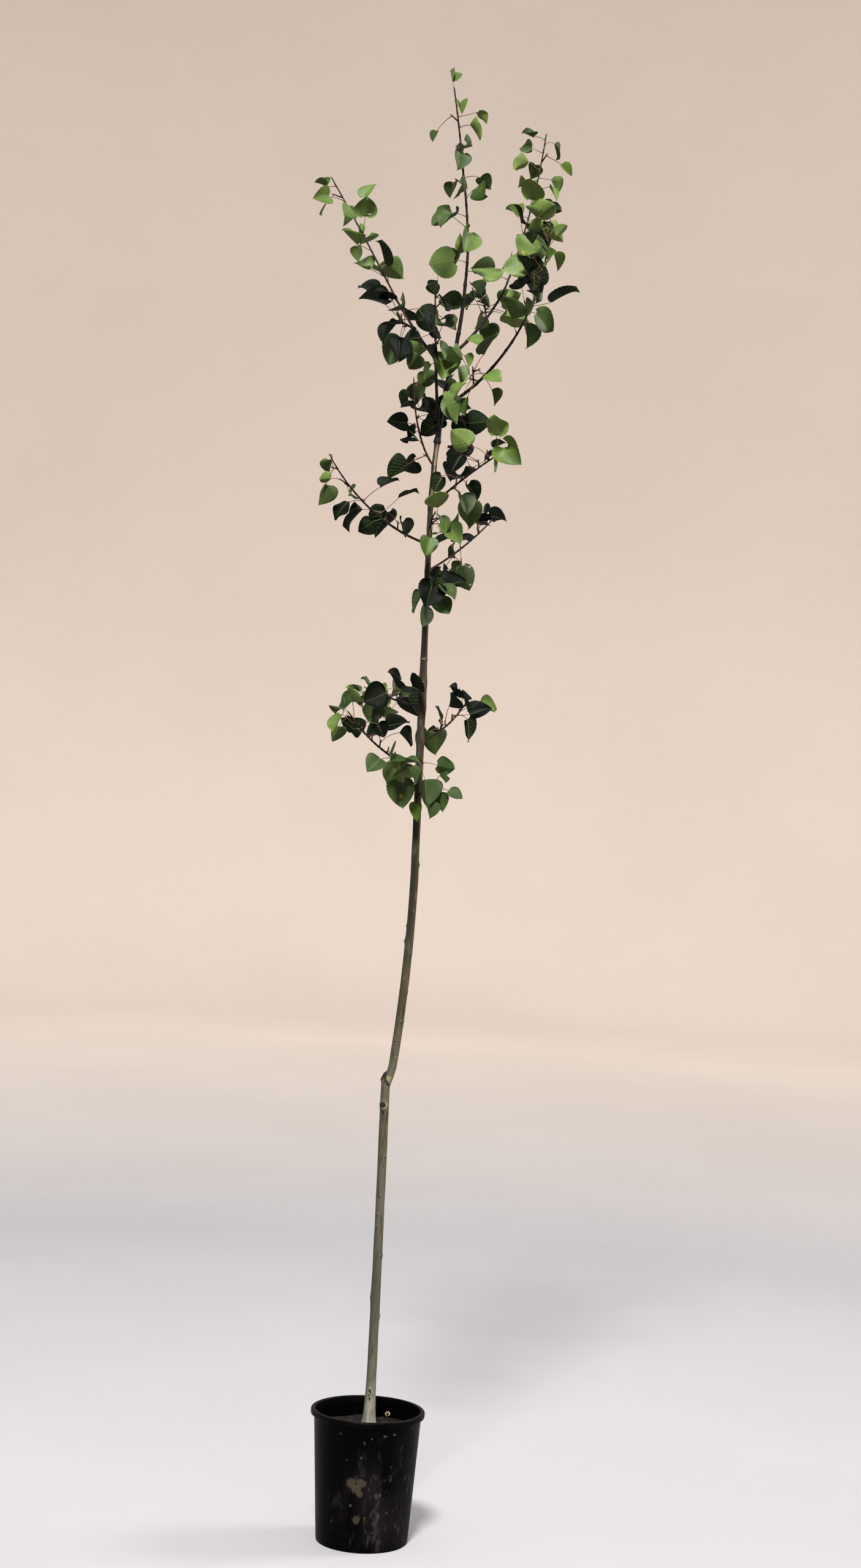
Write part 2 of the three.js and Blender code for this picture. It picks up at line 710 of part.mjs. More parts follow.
// Trunk with its root flare, pruned stub and scars
function trunkSolid(line) {
  const flare = (station) => {
    const rise = (station.point[2] - MIX_LEVEL) / ROOT_FLARE_HEIGHT;
    const depth = ROOT_LOBE_DEPTH * Math.max(0, 1 - rise);
    return (angle) => 1 + depth * Math.cos(angle * ROOT_LOBES + ROOT_LOBE_START);
  };
  const foot = line.stations[0];
  foot.ahead = [0, 0, 1];
  const low = ROOT_RINGS.map((rise) => {
    const share = rise / line.total;
    const point = add(foot.point, [0, 0, rise]);
    return { point, ahead: [0, 0, 1], side: foot.side, share };
  });
  const shaped = { stations: [foot, ...low, ...line.stations.slice(1)], total: line.total };
  taperByHeight(shaped, TRUNK_GIRTH);
  let body = limbSolid(shaped, TRUNK_SIDES, flare);
  const at = stationAt(line, 'height', STUB.height);
  const stub = centreLine(at.point, STUB.heading, [STUB.run], STUB.run[0] / 2);
  taper(stub, [STUB.foot, STUB.tip]);
  body = body.add(limbSolid(stub, BOUGH_SIDES));
  for (const scar of SCARS) {
    body = body.add(scarSolid(line, scar));
  }
  return outerShell(body);
}

// A leafy mass: stem, spurs, stalks and blades fused into one body
function massSolid(line, sprays) {
  let body = limbSolid(line, SHOOT_SIDES);
  const tip = line.stations[line.stations.length - 1];
  for (const { spur, leaves } of sprays) {
    if (spur) {
      body = body.add(spurSolid(spur, tip.radius));
    }
    for (const leaf of leaves) {
      body = body.add(leafSolid(leaf));
    }
  }
  return outerShell(body);
}

// Turned shape as a solid
function turned(profile, segments) {
  const points = profile.map(([x, y]) => new THREE.Vector2(x, y));
  let geometry = new THREE.LatheGeometry(points, segments);
  geometry.rotateX(Math.PI / 2);
  geometry.deleteAttribute('normal');
  geometry.deleteAttribute('uv');
  geometry = mergeVertices(geometry, 0.001);
  const index = Array.from(geometry.index.array);
  const kept = [];
  for (let i = 0; i < index.length; i += 3) {
    const [a, b, c] = [index[i], index[i + 1], index[i + 2]];
    if (a !== b && b !== c && a !== c) {
      kept.push([a, b, c]);
    }
  }
  const xyz = geometry.attributes.position;
  const list = Array.from({ length: xyz.count }, (_, i) => [xyz.getX(i), xyz.getY(i), xyz.getZ(i)]);
  return solid(list, kept);
}

// Wall radii of the pot
const wallRadius = (z) => along(POT_BASE_RADIUS, POT_TOP_RADIUS, z / POT_HEIGHT);

// Pot with a rolled lip and drain holes in its floor
function potSolid() {
  const lip = POT_HEIGHT - POT_LIP_HEIGHT;
  const profile = [
    [0, 0],
    [POT_BASE_RADIUS - 2, 0],
    [POT_BASE_RADIUS, 2],
    [wallRadius(lip), lip],
    [POT_RIM_RADIUS - 1.2, lip],
    [POT_RIM_RADIUS, lip + 1.4],
    [POT_RIM_RADIUS, POT_HEIGHT - 1.6],
    [POT_RIM_RADIUS - 1.6, POT_HEIGHT],
    [wallRadius(POT_HEIGHT) - POT_WALL + 1, POT_HEIGHT],
    [wallRadius(POT_HEIGHT) - POT_WALL, POT_HEIGHT - 1.2],
    [wallRadius(POT_FLOOR) - POT_WALL, POT_FLOOR],
    [0, POT_FLOOR],
  ];
  let body = turned(profile, POT_SIDES);
  for (let i = 0; i < DRAIN_HOLES; i += 1) {
    const angle = ((i + 0.5) / DRAIN_HOLES) * 2 * Math.PI;
    const centre = [DRAIN_RING * Math.cos(angle), DRAIN_RING * Math.sin(angle)];
    const low = ringAt([...centre, -POT_FLOOR], [0, 0, 1], [1, 0, 0], DRAIN_RADIUS, DRAIN_SIDES);
    const high = ringAt([...centre, 2 * POT_FLOOR], [0, 0, 1], [1, 0, 0], DRAIN_RADIUS, DRAIN_SIDES);
    body = body.subtract(tubeSolid([low, high]));
  }
  return outerShell(body);
}

// Potting mix that fills the pot up to its level
function mixSolid() {
  const inside = (z) => wallRadius(z) - POT_WALL - GAP;
  const edge = MIX_LEVEL - MIX_EDGE_DROP;
  const profile = [
    [0, POT_FLOOR + GAP],
    [inside(POT_FLOOR) - GAP, POT_FLOOR + GAP],
    [inside(edge), edge],
    [inside(edge) - MIX_EDGE_WIDTH, MIX_LEVEL],
    [0, MIX_LEVEL],
  ];
  return outerShell(turned(profile, POT_SIDES));
}

// The part
const part = new THREE.Group();
part.name = 'potted_aspen';
const place = (name, geometry, made) => {
  const mesh = new THREE.Mesh(geometry, made);
  mesh.name = name;
  part.add(mesh);
};
const lines = growLimbs();
const masses = growMasses(lines);
place('pot', potSolid(), PLASTIC);
place('potting_mix', mixSolid(), MIX);
place('trunk', trunkSolid(lines.trunk), BARK);
for (const row of LIMBS) {
  place(row.name, outerShell(limbSolid(lines[row.name], BOUGH_SIDES)), BARK_DARK);
}
for (const row of SHOOTS) {
  place(row.name, massSolid(lines[row.name], masses[row.name]), FOLIAGE);
}

export default part;
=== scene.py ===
"""Looks of the potted young aspen: bark, shoots, leaves, nursery pot and potting mix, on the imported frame."""

from math import ceil, cos, exp, floor, hypot, pi, sin, sqrt
from types import SimpleNamespace

import bpy
from mathutils import Matrix, Vector, noise


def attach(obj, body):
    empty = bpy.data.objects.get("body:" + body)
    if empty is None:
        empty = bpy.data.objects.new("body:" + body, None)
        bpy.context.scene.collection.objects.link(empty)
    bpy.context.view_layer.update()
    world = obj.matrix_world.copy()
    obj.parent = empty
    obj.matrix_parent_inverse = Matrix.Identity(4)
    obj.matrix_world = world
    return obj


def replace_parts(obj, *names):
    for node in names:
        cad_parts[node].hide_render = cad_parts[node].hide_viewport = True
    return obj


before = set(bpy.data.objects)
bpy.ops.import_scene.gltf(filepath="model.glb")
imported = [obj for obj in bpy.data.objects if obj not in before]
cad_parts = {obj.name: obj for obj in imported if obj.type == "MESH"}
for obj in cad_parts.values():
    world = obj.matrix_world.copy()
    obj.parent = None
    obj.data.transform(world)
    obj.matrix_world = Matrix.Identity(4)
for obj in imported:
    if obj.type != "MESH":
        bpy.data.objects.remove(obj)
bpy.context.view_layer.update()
MM = 0.001
RAD = pi / 180
FULL_TURN = 2 * pi

# Camera: focal length in units of a frame 2560 high, place in metres, and roll against the upright stem
FRAME_HEIGHT = 2560
FOCAL = 4080
SENSOR = 36
CAMERA_PLACE = (0.0496, -4.08, 1.238)
CAMERA_ROLL = 2.94 * RAD
CAMERA_SIGHT = (0.1, 60)


def link(name, data):
    """Object made from its data and put in the scene."""
    made = bpy.data.objects.new(name, data)
    bpy.context.scene.collection.objects.link(made)
    return made


def make_camera():
    data = bpy.data.cameras.new("camera")
    data.sensor_fit = "AUTO"
    data.sensor_width = SENSOR
    data.lens = FOCAL / FRAME_HEIGHT * SENSOR
    data.clip_start, data.clip_end = CAMERA_SIGHT
    camera = link("camera", data)
    right = Vector((cos(CAMERA_ROLL), 0, sin(CAMERA_ROLL)))
    up = Vector((-sin(CAMERA_ROLL), 0, cos(CAMERA_ROLL)))
    turn = Matrix((right, up, right.cross(up))).transposed().to_4x4()
    camera.matrix_world = Matrix.Translation(CAMERA_PLACE) @ turn
    bpy.context.scene.camera = camera


make_camera()

# Pot, potting mix and stem, in millimetres and degrees as in the source
POT_HEIGHT = 214
POT_RIM_RADIUS = 93
POT_TOP_RADIUS = 88
POT_BASE_RADIUS = 75
POT_WALL = 2.4
POT_LIP_HEIGHT = 9
MIX_LEVEL = 185
MIX_EDGE_DROP = 3
GAP = 0.3

# Limbs: heading, runs of (length, rise at the start, rise at the end), and girths by height or at both ends
TRUNK_FOOT = (2.6, 0, MIX_LEVEL + GAP)
TRUNK = SimpleNamespace(heading=0, runs=[
    (561, 89.7, 90.6), (28, 62, 76), (310, 83.3, 89.3), (365, 90.4, 90.5), (255, 90.5, 90.4), (93, 88, 85),
], girth=[
    (185, 25), (196, 20.5), (240, 17.2), (290, 15.5), (405, 15.4), (530, 14.6), (720, 14.8), (772, 13.6),
    (930, 14), (1000, 13.4), (1150, 12.6), (1320, 12.4), (1392, 14.2), (1420, 12), (1460, 10.6), (1620, 9.4),
    (1740, 8.2), (1800, 8),
])
STUB = SimpleNamespace(heading=158, runs=[(26, 80, 84)], girth=(12.5, 10))
STUB_HEIGHT = 738
STUB_STEP = 2
TRUNK_STEP = 56
BOUGH_STEP = 26
SHOOT_STEP = 24
ROOT_LOBES = 4
ROOT_LOBE_DEPTH = 0.14
ROOT_LOBE_START = 0.6
ROOT_FLARE_HEIGHT = 30
FOOT_ROOM = 2


def table(keys, rows, **shared):
    """Rows of a table as objects with named values."""
    return [SimpleNamespace(**dict(zip(keys, row)), **shared) for row in rows]


# Leader and boughs. height: where the foot stands on the limb below, or None for its tip
LIMB_KEYS = ("name", "on", "height", "heading", "girth", "runs")
LIMBS = table(LIMB_KEYS, [
    ("leader", "trunk", None, 0, (8, 4.5), [(150, 86, 78), (110, 80, 88)]),
    ("bough_left", "leader", 1812, 260, (4.6, 4), [(124, 55, 67)]),
    ("bough_right_low", "leader", 1852, -40, (5, 3.4), [(168, 20, 50)]),
    ("bough_right_high", "leader", 1942, 42, (4.8, 3.2), [(157, 40, 58)]),
])
# Second part of the left bough, past its bend
BEND = SimpleNamespace(heading=145, girth=(4, 3.2), runs=[(131, 47, 54)])

# Shoots of the leafy masses. start: share of the shoot before the first leaves, sprays: their number,
# spur: length of the twig that carries a spray, leaf: blade length at the shoot's foot and at its tip,
# seed: starts the mass's dice, and last the shares of light and of mid green sprays, the rest dark green;
# these greens are partly the leaves' own tones and partly painted light and shade by the mass's place
SHOOT_KEYS = LIMB_KEYS + ("start", "sprays", "spur", "leaf", "seed", "tints")
SPRAY_LEAVES = 2
MASS_REACH = 84
SHOOTS = table(SHOOT_KEYS, [
    ("crown_top", "leader", None, 0, (4.4, 2.2), [(60, 86.5, 90.5), (130, 93, 100), (132, 97.5, 100.5)],
        0.03, 8, 0, (46, 26), 567, (0.6, 0.4)),
    ("crown_leader_front", "leader", 1922, 262, (2.8, 2.2), [(34, 15, 40)],
        0.3, 3, 6, (38, 34), 941, (0.6, 0.35)),
    ("crown_leader_low", "leader", 1832, 20, (2.8, 2.2), [(30, 10, 40)],
        0.3, 4, 6, (40, 36), 277, (0.15, 0.35)),
    ("crown_left_high", "bough_left", None, 145, (3, 2), [(258, 57, 54)],
        0.04, 6, 0, (44, 28), 925, (0.45, 0.5)),
    ("crown_left_mid", "bough_left", 1972, 200, (2.6, 2.2), [(30, 30, 10)],
        0.3, 4, 8, (44, 38), 702, (0.1, 0.3)),
    ("crown_front", "bough_left", 1905, 258, (2.8, 2), [(128, 68, 80)],
        0.12, 4, 3, (38, 30), 715, (0.05, 0.25)),
    ("crown_back_left", "trunk", 1755, 115, (3.2, 2), [(190, 31, 84)],
        0.1, 6, 4, (42, 34), 370, (0.05, 0.25)),
    ("crown_right_high", "bough_right_high", None, 42, (3.1, 2), [(288, 66, 82)],
        0.04, 10, 0, (46, 28), 543, (0.45, 0.4)),
    ("crown_right_back", "bough_right_high", 2010, 95, (2.6, 2), [(60, 30, 55)],
        0.3, 4, 5, (42, 34), 819, (0.3, 0.45)),
    ("crown_right_low", "bough_right_low", None, -40, (3.3, 2), [(204, 50, 91)],
        0.06, 8, 0, (44, 30), 645, (0.4, 0.4)),
    ("crown_right_front", "bough_right_low", 1884, -95, (2.6, 2), [(44, 20, 40)],
        0.3, 3, 6, (42, 36), 839, (0.3, 0.4)),
    ("side_right_high", "trunk", 1690, -48, (3.6, 2), [(189, 31, 20)],
        0.2, 6, 8, (42, 34), 82, (0.2, 0.45)),
    ("side_left_high", "trunk", 1628, 212, (4, 2), [(228, 11, 53)],
        0.2, 5, 8, (46, 32), 940, (0.15, 0.5)),
    ("side_front_high", "trunk", 1655, 275, (2.8, 2.2), [(36, 15, 30)],
        0.4, 2, 8, (44, 38), 886, (0.5, 0.3)),
    ("side_right_mid", "trunk", 1585, 48, (3.6, 2), [(180, 26, 40)],
        0.3, 5, 8, (42, 34), 352, (0.1, 0.45)),
    ("side_front_mid", "trunk", 1545, 285, (2.8, 2.2), [(32, 15, 30)],
        0.5, 3, 6, (42, 38), 478, (0.1, 0.3)),
    ("side_left_mid", "trunk", 1362, 142, (3.4, 2), [(124, 9, 19)],
        0.25, 6, 8, (42, 32), 652, (0.1, 0.45)),
    ("side_right_low", "trunk", 1307, 42, (3.4, 2), [(119, 17, 53)],
        0.3, 5, 6, (40, 32), 922, (0.1, 0.6)),
    ("side_left_low", "trunk", 1260, 218, (3.8, 2), [(172, 12, 48)],
        0.15, 8, 8, (44, 32), 875, (0.12, 0.55)),
    ("side_front_low", "trunk", 1270, 268, (2.8, 2.2), [(34, 5, 25)],
        0.3, 3, 8, (46, 38), 72, (0.2, 0.5)),
    ("side_lowest", "trunk", 1219, -62, (3, 2.2), [(42, 6, 40)],
        0.3, 2, 4, (36, 30), 839, (0.2, 0.5)),
], spray=SPRAY_LEAVES, reach=MASS_REACH)

# Leaf rule: stalks, blades, spurs and the places along a shoot
SEED_STEP = 40
TURN = 137.5
STALK_LENGTH = (13, 40)
STALK_LEAN = (35, 80)
STALK_SAG = (-0.2, 0.9)
BLADE_DROOP = (-0.8, 1.7)
BLADE_SCALE = (0.78, 1.2)
BLADE_WIDTH = (0.92, 1.06)
BLADE_ROLL = 85
BLADE_FOLD = (4, 34)
BLADE_CURL = (-0.04, 0.2)
BASE_POWER = 0.5
TIP_POWER = 0.72
LAST_NODE = 0.985
NODE_SPREAD = 0.7
TURN_SPREAD = 120
LEAF_TRIES = 5
SPUR_SCALE = (0.7, 1.3)
SPUR_AHEAD = 0.6
SPUR_RISE = 0.3
SPUR_END = 1.2
SPUR_NODE = 1.1
DROOP_RELIEF = 0.45

# Clearance that the rule keeps, and how far away another leaf or a limb can matter
CLEAR_LEAF = 7
CLEAR_LIMB = 6
LOWEST_LEAF = 1090
NEAR_LEAF = 120
NEAR_LIMB = 70
SAMPLE_STEP = 6

# Finer twigs of one leaf each, on the same shoots
FINE_PITCH = 95
FINE_SPUR = 13
FINE_LEAF = 0.72
FINE_CLEAR = 4
FINE_SEED = 20
FINE_REACH = 70
FINE_START = 0.7


# Arithmetic on plain tuples, as exact as in the source
def add(a, b):
    return (a[0] + b[0], a[1] + b[1], a[2] + b[2])


def sub(a, b):
    return (a[0] - b[0], a[1] - b[1], a[2] - b[2])


def mul(a, k):
    return (a[0] * k, a[1] * k, a[2] * k)


def dot(a, b):
    return a[0] * b[0] + a[1] * b[1] + a[2] * b[2]


def cross(a, b):
    return (a[1] * b[2] - a[2] * b[1], a[2] * b[0] - a[0] * b[2], a[0] * b[1] - a[1] * b[0])


def size(a):
    return sqrt(dot(a, a))


def unit(a):
    return mul(a, 1 / size(a))


def move(a, b, k):
    """a moved by k times b."""
    return add(a, mul(b, k))


def between(a, b, t):
    return move(a, sub(b, a), t)


def swing(u, v, angle, reach=1):
    """u turned towards v by an angle."""
    return add(mul(u, reach * cos(angle)), mul(v, reach * sin(angle)))


def square_to(axis):
    """A direction square to an axis, not yet of unit length."""
    return cross(axis, (1, 0, 0) if abs(axis[2]) > 0.9 else (0, 0, 1))


def along(a, b, t):
    return a + (b - a) * t


def angles(count):
    """Even steps round a full turn."""
    return [i / count * FULL_TURN for i in range(count)]


def locate(marks, value):
    """Number of the mark that ends the span a value lies in, and its share of that span."""
    i = 1
    while i < len(marks) - 1 and marks[i] < value:
        i += 1
    return i, min(1, max(0, (value - marks[i - 1]) / (marks[i] - marks[i - 1])))


def changed(thing, **values):
    """Copy of an object with some values changed."""
    return SimpleNamespace(**{**vars(thing), **values})


def dice(seed):
    """Random numbers between 0 and 1 from a whole-number seed, as in the source."""
    state = seed * 7919 % 2147483647

    def roll():
        nonlocal state
        state = state * 48271 % 2147483647
        return state / 2147483647

    roll()
    roll()
    return roll


class Line:
    """Centre line of a limb: stations with point, ahead, side, share and radius."""

    def __init__(self, point, row, step):
        self.total = sum(run[0] for run in row.runs)
        self.stations = []
        self.root = None
        turn, walked = row.heading * RAD, 0
        for length, start, end in row.runs:
            pieces = max(2, floor(length / step + 0.5))
            for i in range(pieces):
                rise = along(start, end, (i + 0.5) / pieces) * RAD
                ahead = (cos(rise) * cos(turn), cos(rise) * sin(turn), sin(rise))
                if not self.stations:
                    foot = SimpleNamespace(point=point, ahead=ahead, side=(-sin(turn), cos(turn), 0), share=0)
                    self.stations.append(foot)
                point = move(point, ahead, length / pieces)
                walked += length / pieces
                self.stations.append(changed(foot, point=point, ahead=ahead, share=walked / self.total))
        for s in self.stations:
            if len(row.girth) == 2:
                s.radius = along(*row.girth, s.share) / 2
            else:
                k, t = locate([level for level, _ in row.girth], s.point[2])
                s.radius = along(row.girth[k - 1][1], row.girth[k][1], t) / 2

    def at(self, key, value):
        """Station at a height or at a share of the length."""
        i, t = locate([s.point[2] if key == "height" else s.share for s in self.stations], value)
        a, b = self.stations[i - 1], self.stations[i]
        point = between(a.point, b.point, t)
        return changed(b, point=point, share=along(a.share, b.share, t), radius=along(a.radius, b.radius, t))

    def lengthen(self, row, step):
        more = Line(self.stations[-1].point, row, step)
        total = self.total + more.total
        for s in self.stations:
            s.share *= self.total / total
        for s in more.stations[1:]:
            s.share = (self.total + s.share * more.total) / total
            self.stations.append(s)
        self.total = total


def limb_on(lines, row, step):
    """A limb on its parent: at the parent's tip, or out of its side."""
    parent = lines[row.on]
    if row.height is None:
        tip = parent.stations[-1]
        return Line(move(tip.point, tip.ahead, GAP), row, step)
    at = parent.at("height", row.height)
    line = Line(at.point, row, step)
    foot = line.stations[0]
    out = unit(sub(foot.ahead, mul(at.ahead, dot(foot.ahead, at.ahead))))
    reach = (at.radius + GAP) / dot(out, foot.ahead)
    kept = [s for s in line.stations if s.share * line.total > reach + FOOT_ROOM]
    line.stations = [changed(foot, point=move(at.point, foot.ahead, reach), share=reach / line.total)] + kept
    line.root = at.point
    return line


def grow_limbs():
    lines = {"trunk": Line(TRUNK_FOOT, TRUNK, TRUNK_STEP)}
    for row in LIMBS:
        lines[row.name] = limb_on(lines, row, BOUGH_STEP)
    lines["bough_left"].lengthen(BEND, BOUGH_STEP)
    for row in SHOOTS:
        lines[row.name] = limb_on(lines, row, SHOOT_STEP)
    return lines


def half_width(share):
    """Half width of a blade at a share of its length."""
    peak = BASE_POWER / (BASE_POWER + TIP_POWER)
    top = peak ** BASE_POWER * (1 - peak) ** TIP_POWER
    return 0.5 * share ** BASE_POWER * (1 - share) ** TIP_POWER / top


def blade_point(leaf, share, across):
    half = half_width(share) * leaf.size * leaf.width * across
    bend = -leaf.curl * leaf.size * share * share + abs(half) * sin(leaf.fold)
    out = add(mul(leaf.rib, leaf.size * share), mul(leaf.across, half * cos(leaf.fold)))
    return add(leaf.base, move(out, leaf.normal, bend))


def grow_leaf(foot, axis, azimuth, length, roll):
    """One leaf from the source's rule."""
    u = unit(square_to(axis))
    out = swing(u, cross(axis, u), azimuth)
    lean = along(*STALK_LEAN, roll()) * RAD
    stalk = along(*STALK_LENGTH, roll())
    sag = along(*STALK_SAG, roll())
    first = unit(swing(axis, out, lean))
    last = unit(add(first, (0, 0, -sag)))
    middle = move(foot, first, stalk * 0.5)
    base = move(middle, last, stalk * 0.5)
    droop = along(*BLADE_DROOP, roll())
    rib = unit(add(last, (0, 0, -droop * (1 - DROOP_RELIEF * max(0, last[2])))))
    flat = unit(cross(rib, out if abs(rib[2]) > 0.98 else (0, 0, 1)))
    across = swing(flat, cross(flat, rib), along(-BLADE_ROLL, BLADE_ROLL, roll()) * RAD)
    return SimpleNamespace(
        foot=foot, middle=middle, base=base, first=first, rib=rib, across=across, normal=cross(across, rib),
        size=length * along(*BLADE_SCALE, roll()), width=along(*BLADE_WIDTH, roll()),
        fold=along(*BLADE_FOLD, roll()) * RAD, curl=along(*BLADE_CURL, roll()),
    )


def grow_spur(row, at, turn, roll):
    """Twig that carries a spray off the side of its shoot."""
    out = swing(at.side, cross(at.ahead, at.side), turn * RAD)
    axis = unit(add(mul(at.ahead, SPUR_AHEAD), add(out, (0, 0, SPUR_RISE))))
    length = at.radius + row.spur * along(*SPUR_SCALE, roll())
    return SimpleNamespace(foot=at.point, tip=move(at.point, axis, length), axis=axis)


def grow_spray(row, line, index, room, shift=0, clear=CLEAR_LEAF):
    """One spray: its spur, if the shoot has them, and its leaves, each tried until it finds room."""
    number = row.seed * SEED_STEP + shift + index
    roll = dice(number)
    pitch = (1 - row.start) / row.sprays
    turn = roll() * 360
    middle = line.at("share", row.start + pitch * (index + 0.5))
    spur = grow_spur(row, middle, turn, roll) if row.spur else None
    leaves = []
    for k in range(row.spray):
        place = index + (k + along(0.5, roll(), NODE_SPREAD)) / row.spray
        share = min(LAST_NODE, row.start + pitch * place)
        node = line.at("share", share)
        foot = sub(spur.tip, mul(spur.axis, SPUR_END + k * SPUR_NODE)) if spur else node.point
        axis = spur.axis if spur else node.ahead
        for attempt in range(LEAF_TRIES):
            azimuth = (turn + (k + attempt) * TURN + (roll() - 0.5) * TURN_SPREAD) * RAD
            leaf = grow_leaf(foot, axis, azimuth, along(*row.leaf, share), roll)
            if room.takes(leaf, row, clear):
                leaves.append(leaf)
                break
    return SimpleNamespace(number=number, spur=spur, leaves=leaves)


def leaf_points(leaf):
    """Points of a leaf that are tested for clearance, the blade's middle first."""
    points = [blade_point(leaf, 0.5, 0), leaf.middle, leaf.base, blade_point(leaf, 0.04, 0)]
    for share in (0.25, 0.5, 0.75):
        points.extend(blade_point(leaf, share, across) for across in (-1, -0.5, 0.5, 1))
    return points + [blade_point(leaf, share, 0) for share in (0.25, 0.75, 0.97)]


def limb_samples(line):
    """Points along a limb with its radius there, close enough together for the clearance test."""
    samples = []
    for a, b in zip(line.stations, line.stations[1:]):
        span = sub(b.point, a.point)
        pieces = ceil(size(span) / SAMPLE_STEP)
        for k in range(1, pieces + 1):
            samples.append((move(a.point, span, k / pieces), along(a.radius, b.radius, k / pieces)))
    return samples


def is_near(p, q, distance):
    d = sub(p, q)
    return dot(d, d) < distance * distance


class Room:
    """Room for leaves: within their mass's reach, clear of the limbs and of the leaves already taken in."""

    def __init__(self, lines):
        self.samples = {name: limb_samples(line) for name, line in lines.items()}
        self.limbs = [sample for samples in self.samples.values() for sample in samples]
        self.leaves = []

    def takes(self, leaf, row, clear):
        points = leaf_points(leaf)
        own = self.samples[row.name]
        for p in points:
            if p[2] <= LOWEST_LEAF or not any(is_near(p, point, row.reach) for point, _ in own):
                return False
        limbs = [limb for limb in self.limbs if is_near(limb[0], points[0], NEAR_LIMB)]
        if any(is_near(p, point, CLEAR_LIMB + radius) for point, radius in limbs for p in points):
            return False
        others = [q for other in self.leaves if is_near(other[0], points[0], NEAR_LEAF) for q in other]
        if any(is_near(p, q, clear) for q in others for p in points):
            return False
        self.leaves.append(points)
        return True


def grow_masses(lines):
    """Leafy masses by the source's rule, and then finer twigs with one leaf each in the room that is left."""
    room, masses = Room(lines), {}
    for row in SHOOTS:
        masses[row.name] = [grow_spray(row, lines[row.name], i, room) for i in range(row.sprays)]
    for row in SHOOTS:
        line = lines[row.name]
        count = max(2, round(line.total / FINE_PITCH))
        leaf = [length * FINE_LEAF for length in row.leaf]
        start = row.start * FINE_START
        fine = changed(row, sprays=count, spray=1, spur=FINE_SPUR, start=start, reach=FINE_REACH, leaf=leaf)
        masses[row.name] += [grow_spray(fine, line, i, room, FINE_SEED, FINE_CLEAR) for i in range(count)]
    return {name: [spray for spray in mass if spray.leaves] for name, mass in masses.items()}


class Shape:
    """Collects points and faces, each face with the number of its material, and makes one object of them."""

    def __init__(self):
        self.points = []
        self.faces = []
        self.kinds = []

    def put(self, points, faces, under=()):
        """Adds points and faces. Faces of an underside take the second material."""
        base = len(self.points)
        self.points += points
        self.faces += [tuple(base + i for i in face) for face in [*faces, *under]]
        self.kinds += [0] * len(faces) + [1] * len(under)
        return self

    def put_rings(self, points, count):
        """Skin over rings of so many points each, closed by its first and last ring."""
        last = len(points) - count
        faces = []
        for a in range(0, last, count):
            for i in range(count):
                j = (i + 1) % count
                faces.append((a + i, a + j, a + count + j, a + count + i))
        return self.put(points, faces + [range(count - 1, -1, -1), range(last, last + count)])

    def tube(self, stations, sides, form=None):
        """Tube through (point, ahead, side, radius) stations. form: factor from the angle and the station."""
        points = []
        for number, (point, ahead, side, radius) in enumerate(stations):
            for angle in angles(sides):
                reach = radius * (form(angle, number) if form else 1)
                points.append(add(point, swing(side, cross(ahead, side), angle, reach)))
        return self.put_rings(points, sides)

    def turn(self, profile, count, form=None):
        """Turned form of a profile of (radius, height) pairs, closed on its axis."""
        points = []
        for x, z in profile:
            for angle in angles(count):
                reach, rise = form(x, z, angle) if form else (x, z)
                points.append((reach * cos(angle), reach * sin(angle), rise))
        return self.put_rings(points, count)

    def mesh_object(self, name, materials, smooth=True, angle=50):
        mesh = bpy.data.meshes.new(name)
        mesh.from_pydata([mul(p, MM) for p in self.points], [], self.faces)
        for material in materials:
            mesh.materials.append(material)
        mesh.polygons.foreach_set("material_index", self.kinds)
        mesh.polygons.foreach_set("use_smooth", [smooth] * len(self.faces))
        mesh.update()
        if smooth:
            mesh.set_sharp_from_angle(angle=angle * RAD)
        return link(name, mesh)

    def make(self, name, finishes, body_slot, **shading):
        """One piece of the plant or pot, on the root body; body_slot is not used."""
        piece = self.mesh_object(name, [FINISHES[finish] for finish in finishes], **shading)
        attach(piece, "root")
        return piece


# Fine surface of the limbs: pitch of the stations, points round, and width against the source's girth
TRUNK_PITCH = 1.8
TRUNK_ROUND = 48
TRUNK_EASE = 4
TRUNK_SUNK = 4
BOUGH_PITCH = 2.2
BOUGH_ROUND = 16
BOUGH_EASE = 5
BOUGH_STOUT = 1.17
BOUGH_NODES = (0.22, 0.46, 0.7, 0.92)
SHOOT_PITCH = 2.4
SHOOT_ROUND = 10
SHOOT_EASE = 3
SHOOT_STOUT = 1.1
SHOOT_SEED = 20
LAST_SWELLING = 0.97

# Swelling at a limb's foot and at its nodes, as shares of the radius and half lengths, and fine wrinkles
FOOT_SWELL = 0.45
FOOT_SPAN = 7
NODE_SWELL = 0.26
NODE_SPAN = 2
LIMB_WAVES = 0.1
LIMB_GRAIN = 0.05
# Ring scars of a spur: their pitch, its width at the foot, its taper and how far the rings stand out
RING_PITCH, SPUR_FOOT, SPUR_TAPER, RING_RISE = 0.9, 1.25, 0.3, 0.14

# Slanted cut of the stub: level of its plane at the pot's middle, rises to the right and back, half sizes
CUT_LEVEL = 762.2
CUT_RISE = 1.72
CUT_TILT = 0.9
CUT_HALF = (9.4, 4.7)
CUT_DOME = 0.9
STUB_ROUND = 28
STUB_PITCH = 1.3
STUB_ROUGH = 0.1

# Waves of the bark as (depth, times round the stem, times up it)
BARK_WAVES = ((0.34, 1.6, 0.03), (0.13, 5, 0.16), (0.06, 3, 0.9))
# How many half sizes a mark on the bark is felt, and the softness of a raised rim
MARK_REACH = 3
RIM_SOFT = 0.4
